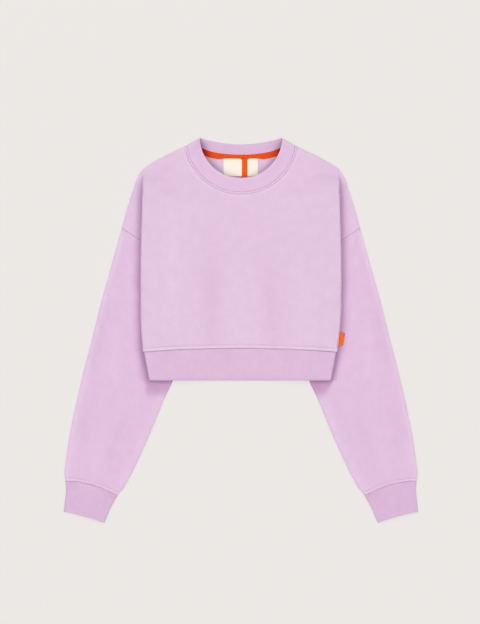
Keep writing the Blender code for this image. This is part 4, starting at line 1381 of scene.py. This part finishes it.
def neckband(name, look, finish):
    """A closed strip: the front half lies over the back half, folded at the shoulders."""
    front_plan, back_plan, out = neckband_plans()
    middle, ways, _ = ring(front_plan, back_plan, level, out * (-1, 1), out, RIB_SIDE_STEPS)
    x, y = middle[..., 0], middle[..., 1]
    outer_off, inner_off = rib_offsets(middle, NECK_SEAM, look)
    is_front = np.zeros_like(x)
    is_front[:, :NECK_FRONT_STEPS + 1] = 1.0
    from_edge = from_last(middle)
    along = np.zeros_like(x)
    along[:, :NECK_FRONT_STEPS + 1] = np.linspace(0.0, 1.0, NECK_FRONT_STEPS + 1)
    stands = smoothstep(along / RIM_LIFT_END) * smoothstep((1 - along) / RIM_LIFT_END)
    near_edge = (1 - from_edge / from_edge[:1]) ** RIM_LIFT_CURVE
    at_side = np.abs(2 * along - 1) ** RIM_LIFT_SPREAD
    side_rim = np.where(along < 0.5, RIM_LIFT_RIGHT, RIM_LIFT_LEFT)
    rim = RIM_LIFT_MIDDLE + (side_rim - RIM_LIFT_MIDDLE) * at_side
    lift = is_front * front_lift(x, y) + rim * stands * near_edge
    # painted highlight on the front's open edge; inside, painted shade under that edge and all
    # over, and a painted highlight along the fold
    tone = NECK_FRONT_TONE * is_front + NECK_EDGE_TONE * is_front * smoothstep(
        from_edge / NECK_EDGE_START) * (1 - set_in(from_edge, NECK_EDGE_END_AT))
    neck_fold_highlight = NECK_FOLD_HIGHLIGHT * np.exp(-(from_edge / NECK_FOLD_HIGHLIGHT_REACH) ** 2)
    return tube(name, middle, ways, lift, outer_off, inner_off, tone, finish,
                rim_shade(x, y) + NECK_INSIDE_TONE + neck_fold_highlight)[0]


# ---- trims ---------------------------------------------------------------------------

def between(plan, bottom, top):
    """Points of a plane grid at two heights: the upper ones, then the lower ones."""
    return [np.concatenate([plan, height[..., None]], axis=-1) for height in (top, bottom)]


def lying(name, plan, layers_below, finish, curl=None, crown=0.0, shaded=1.0):
    """A flat trim on the inside of the back, above so many other trims."""
    top_of_back = level(np.zeros(1), np.full(1, LABEL_BOTTOM_Y))[0] - INSIDE
    rows, columns = plan.shape[:2]
    bottom_z = top_of_back + TRIM_GAP + layers_below * (TRIM + TRIM_GAP)
    v = np.linspace(-1, 1, rows)[:, None]
    u = np.linspace(-1, 1, columns)[None, :]
    across, down = lengths(plan, axis=1), lengths(plan, axis=0)
    edge = np.minimum(down, from_last(plan))
    side = np.minimum(across, from_last(plan, axis=1))
    round_it = lip(np.minimum(edge, side), TRIM_ROUND)
    lift = curl(u, v) if curl else 0.0
    half = TRIM / 2
    top = bottom_z + half + half * round_it * (1 + crown * (1 - v ** 2)) + lift
    bottom = bottom_z + half - half * round_it + lift
    outer, inner = between(plan, bottom, top)
    weave = np.stack([across, down, 0 * top], axis=-1)
    # painted shade under the front's open edge, more of it on the tape
    tone = shaded * rim_shade(plan[..., 0], plan[..., 1])
    return shell(name, outer, inner, grid_faces(rows, columns), weave, tone, finish)


def edge_graded(steps):
    """Shares from 0 to 1 with fine steps at both ends."""
    fine = np.array([0.0, 0.004, 0.012, 0.03])
    return np.r_[fine, np.linspace(0.05, 0.95, steps), 1 - fine[::-1]]


def tape_bottom(x):
    return read(TAPE_EDGE, "bottom", "x", np.abs(x))


def neck_tape(name, finish):
    """The tape over the back neck seam."""
    x = np.linspace(-TAPE_HALF, TAPE_HALF, TAPE_STEPS)
    top = np.stack([x, read(TAPE_EDGE, "top", "x", np.abs(x))], axis=1)
    bottom = np.stack([x, tape_bottom(x)], axis=1)
    plan = np.stack([top + (bottom - top) * share for share in TAPE_ROWS])
    return lying(name, plan, 0, finish, crown=TAPE_CROWN, shaded=TAPE_SHADED)


def below_tape(middle_x, width, bottom_y, flare=0.0):
    """A rectangle whose top edge follows the lower edge of the tape."""
    share = edge_graded(LABEL_STEPS) * 2 - 1
    rows = []
    for v in edge_graded(LABEL_ROWS):
        from_top = v * (tape_bottom(middle_x) - bottom_y)
        near_top = max(0.0, 1 - from_top / STRIP_FLARE_LENGTH)
        half = width / 2 + flare * near_top ** STRIP_FLARE_CURVE
        x = middle_x + share * half
        top_y = tape_bottom(x) - TRIM_GAP
        rows.append(np.stack([x, top_y + (bottom_y - top_y) * v], axis=1))
    return np.array(rows)


def label_curl(u, v):
    """The label's lower edge stands off the cloth, most of all at its corners."""
    across = LABEL_CURL_MIDDLE + (1 - LABEL_CURL_MIDDLE) * u ** 4
    return LABEL_CURL * smoothstep(v) * across


def woven_label(name, finish):
    plan = below_tape(LABEL_MIDDLE_X, LABEL_WIDTH, LABEL_BOTTOM_Y)
    return lying(name, plan, 0, finish, curl=label_curl)


def label_ribbon(name, finish):
    """The ribbon that runs down over the label and widens into the tape."""
    plan = below_tape(STRIP_MIDDLE_X, STRIP_WIDTH, STRIP_BOTTOM_Y, STRIP_FLARE)
    return lying(name, plan, 1, finish)


def side_tab(name, finish):
    """A ribbon folded in half that sticks out of the left side seam above the hem."""
    down = edge_graded(TAB_STEPS)
    rows = []
    for share in down:
        y = TAB_TOP_Y - TAB_LENGTH * share
        start = float(x_at(BODY_EDGE, y) + lean(y)) - TAB_ROOT
        reach = TAB_OUT_TOP + (TAB_OUT_BOTTOM - TAB_OUT_TOP) * share + TAB_SPARE
        rows.append([(start + reach * k, y - TAB_TILT * k) for k in TAB_COLUMNS])
    plan = np.array(rows)
    base = level(np.full_like(plan[..., 0], BODY_EDGE[-1].x), plan[..., 1])
    rows, columns = plan.shape[:2]
    u = np.broadcast_to(TAB_COLUMNS, (rows, columns))
    v = np.broadcast_to(down[:, None], (rows, columns))
    pinch = TAB_PINCHED + (1 - TAB_PINCHED) * smoothstep(u / TAB_PINCH_SHARE)
    half = TAB_HALF * lip(1 - u, TAB_FOLD_SHARE) * pinch
    droop = -TAB_DROOP * u ** 1.5
    wave = TAB_WAVE * np.sin(v * 5.0 + 0.6) * u
    outer, inner = between(plan, base - half + droop + wave, base + half + droop + wave)
    weave = np.stack([v * TAB_LENGTH, u * TAB_OUT_TOP, 0 * u], axis=-1)
    # painted light where the tab comes out of the seam
    tone = TAB_ROOT_LIGHT - TAB_ROOT_LIGHT * smoothstep(u / TAB_ROOT_SHARE)
    return shell(name, outer, inner, grid_faces(rows, columns), weave, tone, finish)


# ---- settings ------------------------------------------------------------------------

def linear(red, green, blue):
    """A colour of the finished picture as the linear values that materials take."""
    channels = (red / 255, green / 255, blue / 255)
    return tuple(c / 12.92 if c < 0.04045 else ((c + 0.055) / 1.055) ** 2.4 for c in channels)


class ClothSettings(bpy.types.PropertyGroup):
    """Fleece and rib."""
    fleece: FloatVectorProperty(name="Fleece", description="Colour of the fleece",
                                subtype="COLOR", size=3, default=linear(221, 192, 218))
    sleeves: FloatVectorProperty(name="Sleeves", description="Colour of the sleeves' fleece",
                                 subtype="COLOR", size=3, default=linear(220, 188, 216))
    rib: FloatVectorProperty(name="Rib", description="Colour of the rib",
                             subtype="COLOR", size=3, default=linear(217, 184, 213))
    thread: FloatVectorProperty(name="Thread", description="Colour of the sewing thread",
                                subtype="COLOR", size=3, default=linear(204, 170, 199))
    nap: FloatProperty(name="Nap", description="Soft sheen of the brushed surface",
                       default=0.08, min=0.0, max=1.0)
    wale: FloatProperty(name="Wale", description="Width of one column of knitted loops",
                        default=1.3 * MM, unit="LENGTH")
    rib_depth: FloatProperty(name="Rib depth", description="Half the height of a rib",
                             default=0.13 * MM, unit="LENGTH")
    stitch: FloatProperty(name="Stitch", description="Length of one stitch",
                          default=3.0 * MM, unit="LENGTH")


class TrimSettings(bpy.types.PropertyGroup):
    """Tape, label and tab."""
    tape: FloatVectorProperty(name="Tape", description="Colour of the neck tape",
                              subtype="COLOR", size=3, default=linear(236, 82, 20))
    strip: FloatVectorProperty(name="Strip", description="Colour of the ribbon on the label",
                               subtype="COLOR", size=3, default=linear(244, 92, 24))
    tab: FloatVectorProperty(name="Tab", description="Colour of the side tab",
                             subtype="COLOR", size=3, default=linear(249, 115, 38))
    label: FloatVectorProperty(name="Label", description="Colour of the woven label",
                               subtype="COLOR", size=3, default=linear(246, 236, 222))
    rib_pitch: FloatProperty(name="Rib pitch", description="Distance between the tape's ribs",
                             default=0.9 * MM, unit="LENGTH")


FLOOR_GLOW = (1.0, 0.963, 0.934)
SOFT_BOX_SIZE = 2.0
SOFT_BOX_PLACE = (-2.4, 2.0, 3.2)
SENSOR = 36.0                   # width of the camera's picture, its own millimetres


class StageSettings(bpy.types.PropertyGroup):
    """Floor, light and camera."""
    floor: FloatVectorProperty(name="Floor", description="Colour of the floor",
                               subtype="COLOR", size=3, default=(0.20, 0.1925, 0.187))
    floor_size: FloatProperty(name="Floor size", description="Side of the square floor",
                              default=40.0, unit="LENGTH")
    room: FloatProperty(name="Room", description="Strength of the light from all round",
                        default=2.045, min=0.0)
    overhead: FloatProperty(name="Overhead", default=0.02, min=0.0, max=1.0,
                            description="Share of that strength straight above")
    horizon: FloatProperty(name="Horizon", default=0.10, min=0.0, max=1.0,
                           description="Share of that strength low down")
    soft_box: FloatProperty(name="Soft box", description="Power of the soft box, watts",
                            default=8.0, min=0.0)
    floor_glow: FloatProperty(name="Floor glow", default=0.626, min=0.0,
                              description="Light of the floor's own, which thins shadows")
    camera_height: FloatProperty(name="Camera height", description="Camera above the floor",
                                 default=2.95, unit="LENGTH")
    field: FloatProperty(name="Field", description="Length of floor that the picture shows",
                         default=1.248, unit="LENGTH")
    aim_x: FloatProperty(name="Aim x", description="Middle of the picture",
                         default=-2.0 * MM, unit="LENGTH")
    aim_y: FloatProperty(name="Aim y", description="Middle of the picture",
                         default=35.4 * MM, unit="LENGTH")


# ---- operators -----------------------------------------------------------------------

# Cut of the cloth that shows: width and length laid flat, and the area where that is less
Cut = namedtuple("Cut", "flat area")


def dress(piece, node):
    """Puts a cloth piece on the frame's body, in place of its solid."""
    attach(piece, "root")
    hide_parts(node)


def thread_lines(name, lines, look):
    """Stitches along lines, in the colour of the cloth."""
    thread = material("tonal_thread", thread_material, look.thread)
    threads = stitches(name, lines, look.stitch, look.stitch * STITCH_SHOWS, THREAD_RADIUS,
                       thread)
    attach(threads, "root")


def fleece_material(look):
    return material("brushed_fleece", cloth_material, look.fleece, look, FLEECE_MOTTLING)


def rib_material(look):
    return material("fine_rib", cloth_material, look.rib, look, RIB_MOTTLING)


class SWEATSHIRT_OT_body(bpy.types.Operator):
    """Add the front and the back, with their pleats at the shoulders"""
    bl_idname = "sweatshirt.body"
    bl_label = "Front and back"

    def execute(self, context):
        look = context.scene.sweatshirt_cloth
        front, lines = panel("fleece_front", 1, fleece_material(look))
        dress(front, "front_panel")
        back, _ = panel("fleece_back", -1, fleece_material(look))
        dress(back, "back_panel")
        for seam in ("neck", "hem"):
            rows = [line for half in lines for line in half[seam]]
            thread_lines(seam + "_stitches", rows, look)
        return {"FINISHED"}


class SWEATSHIRT_OT_sleeves(bpy.types.Operator):
    """Add both sleeves, which lie behind the body"""
    bl_idname = "sweatshirt.sleeves"
    bl_label = "Sleeves"

    def execute(self, context):
        look = context.scene.sweatshirt_cloth
        for side, wearers in ((1, "left"), (-1, "right")):
            cloth = material("sleeve_fleece", cloth_material, look.sleeves, look,
                             FLEECE_MOTTLING)
            piece, lines = sleeve("fleece_sleeve_" + wearers, side, cloth)
            dress(piece, wearers + "_sleeve")
            thread_lines("cuff_stitches_" + wearers, lines, look)
        return {"FINISHED"}


class SWEATSHIRT_OT_ribs(bpy.types.Operator):
    """Add the rib bands: neck, hem and both cuffs"""
    bl_idname = "sweatshirt.ribs"
    bl_label = "Rib bands"

    def execute(self, context):
        look = context.scene.sweatshirt_cloth
        rib = rib_material(look)
        dress(neckband("rib_neckband", look, rib), "neckband")
        dress(hem_band("rib_hem", look, rib), "hem_band")
        for side, wearers in ((1, "left"), (-1, "right")):
            piece = cuff("rib_cuff_" + wearers, side, look, rib)
            dress(piece, wearers + "_cuff")
        return {"FINISHED"}


class SWEATSHIRT_OT_trims(bpy.types.Operator):
    """Add the neck tape, the label with its ribbon, and the side tab"""
    bl_idname = "sweatshirt.trims"
    bl_label = "Tape, label and tab"

    def execute(self, context):
        trim = context.scene.sweatshirt_trim
        tape = material("neck_tape_weave", tape_material, trim.tape, trim.rib_pitch, 0.6)
        strip = material("orange_ribbon", tape_material, trim.strip, trim.rib_pitch, 0.5)
        tab = material("orange_tab", tape_material, trim.tab, trim.rib_pitch, 0.6)
        cream = material("cream_satin", tape_material, trim.label, trim.rib_pitch * 0.5, 0.2)
        dress(neck_tape("neck_binding", tape), "neck_tape")
        dress(woven_label("woven_label", cream), "label")
        dress(label_ribbon("label_ribbon", strip), "label_strip")
        dress(side_tab("folded_tab", tab), "side_tab")
        return {"FINISHED"}


def aim(thing, target):
    """Turns a light or a camera towards a point, with +Y up in its picture."""
    place = np.array(thing.location)
    back = unit(place - np.array(target))
    right = unit(np.cross((0.0, 1.0, 0.0), back))
    up = np.cross(back, right)
    turned = np.stack([right, up, back], axis=1)
    thing.rotation_euler = mathutils.Matrix(turned.tolist()).to_euler()


class SWEATSHIRT_OT_stage(bpy.types.Operator):
    """Add the floor, the lights and the camera straight above"""
    bl_idname = "sweatshirt.stage"
    bl_label = "Stage"

    def execute(self, context):
        stage = context.scene.sweatshirt_stage
        self.floor(stage)
        self.lights(context.scene, stage)
        self.camera(context.scene, stage)
        context.scene.view_settings.view_transform = "Standard"
        return {"FINISHED"}

    def floor(self, stage):
        shader = Shader("pale_floor")
        place = shader.node("NewGeometry").outputs["Position"]
        grain = shader.noise(place, 30.0, 4.0)
        rough = shader.node("MapRange", {"Value": grain, "To Min": 0.85, "To Max": 0.95})
        base = shader.blend(grain, shade(stage.floor, 0.995), shade(stage.floor, 1.005))
        shader.set(Base_Color=base, Roughness=rough.outputs[0], Specular_IOR_Level=0.0,
                   Emission_Color=shade(FLOOR_GLOW, 1.0), Emission_Strength=stage.floor_glow)
        half = stage.floor_size / 2
        corners = [(-half, -half, 0), (half, -half, 0), (half, half, 0), (-half, half, 0)]
        floor = mesh_piece("floor", corners, [[0, 1, 2, 3]], shader.material)
        floor.location.z = -0.05 * MM

    def lights(self, scene, stage):
        """A pale room, brightest halfway up, and a large soft box."""
        world = bpy.data.worlds.new("pale_room")
        scene.world = world
        world.use_nodes = True
        nodes, links = world.node_tree.nodes, world.node_tree.links
        background = nodes["Background"]
        background.inputs["Color"].default_value = (1.0, 1.0, 1.0, 1.0)
        place = nodes.new("ShaderNodeTexCoord")
        height = nodes.new("ShaderNodeSeparateXYZ")
        band = nodes.new("ShaderNodeValToRGB")
        ramp_points = band.color_ramp.elements
        for z, share in ((0.0, stage.horizon), (0.42, stage.horizon), (0.56, 1.0), (0.78, 1.0),
                         (0.92, stage.overhead)):
            point = ramp_points.new(z)
            point.color = (share, share, share, 1.0)
        ramp_points.remove(ramp_points[0])
        ramp_points.remove(ramp_points[-1])
        strength = nodes.new("ShaderNodeMath")
        strength.operation = "MULTIPLY"
        strength.inputs[1].default_value = stage.room
        links.new(place.outputs["Generated"], height.inputs[0])
        links.new(height.outputs["Z"], band.inputs[0])
        links.new(band.outputs[0], strength.inputs[0])
        links.new(strength.outputs[0], background.inputs["Strength"])
        lamp = bpy.data.lights.new("soft_box", "AREA")
        lamp.energy = stage.soft_box
        lamp.size = SOFT_BOX_SIZE
        light = bpy.data.objects.new("soft_box", lamp)
        scene.collection.objects.link(light)
        light.location = SOFT_BOX_PLACE
        aim(light, (0.0, 0.0, 0.0))

    def camera(self, scene, stage):
        lens = bpy.data.cameras.new("camera")
        lens.sensor_width = SENSOR
        lens.lens = SENSOR * stage.camera_height / stage.field
        camera = bpy.data.objects.new("camera", lens)
        scene.collection.objects.link(camera)
        camera.location = (stage.aim_x, stage.aim_y, stage.camera_height)
        scene.camera = camera


STEPS = (SWEATSHIRT_OT_body, SWEATSHIRT_OT_sleeves, SWEATSHIRT_OT_ribs, SWEATSHIRT_OT_trims,
         SWEATSHIRT_OT_stage)


class SWEATSHIRT_PT_sidebar(bpy.types.Panel):
    """The sweatshirt's steps and settings"""
    bl_idname = "SWEATSHIRT_PT_sidebar"
    bl_label = "Cropped sweatshirt"
    bl_space_type = "VIEW_3D"
    bl_region_type = "UI"
    bl_category = "Sweatshirt"

    def draw(self, context):
        for step in STEPS:
            self.layout.operator(step.bl_idname)
        for group in SETTINGS:
            box = self.layout.box()
            for name in SETTINGS[group].__annotations__:
                box.prop(getattr(context.scene, group), name)


SETTINGS = {"sweatshirt_cloth": ClothSettings, "sweatshirt_trim": TrimSettings,
            "sweatshirt_stage": StageSettings}


def register():
    for group in (*SETTINGS.values(), *STEPS, SWEATSHIRT_PT_sidebar):
        bpy.utils.register_class(group)
    for name, group in SETTINGS.items():
        setattr(bpy.types.Scene, name, PointerProperty(type=group))


def unregister():
    for name in SETTINGS:
        delattr(bpy.types.Scene, name)
    for group in reversed((*SETTINGS.values(), *STEPS, SWEATSHIRT_PT_sidebar)):
        bpy.utils.unregister_class(group)


def main():
    register()
    for step in STEPS:
        category, name = step.bl_idname.split(".")
        getattr(getattr(bpy.ops, category), name)()


if __name__ == "__main__":
    main()
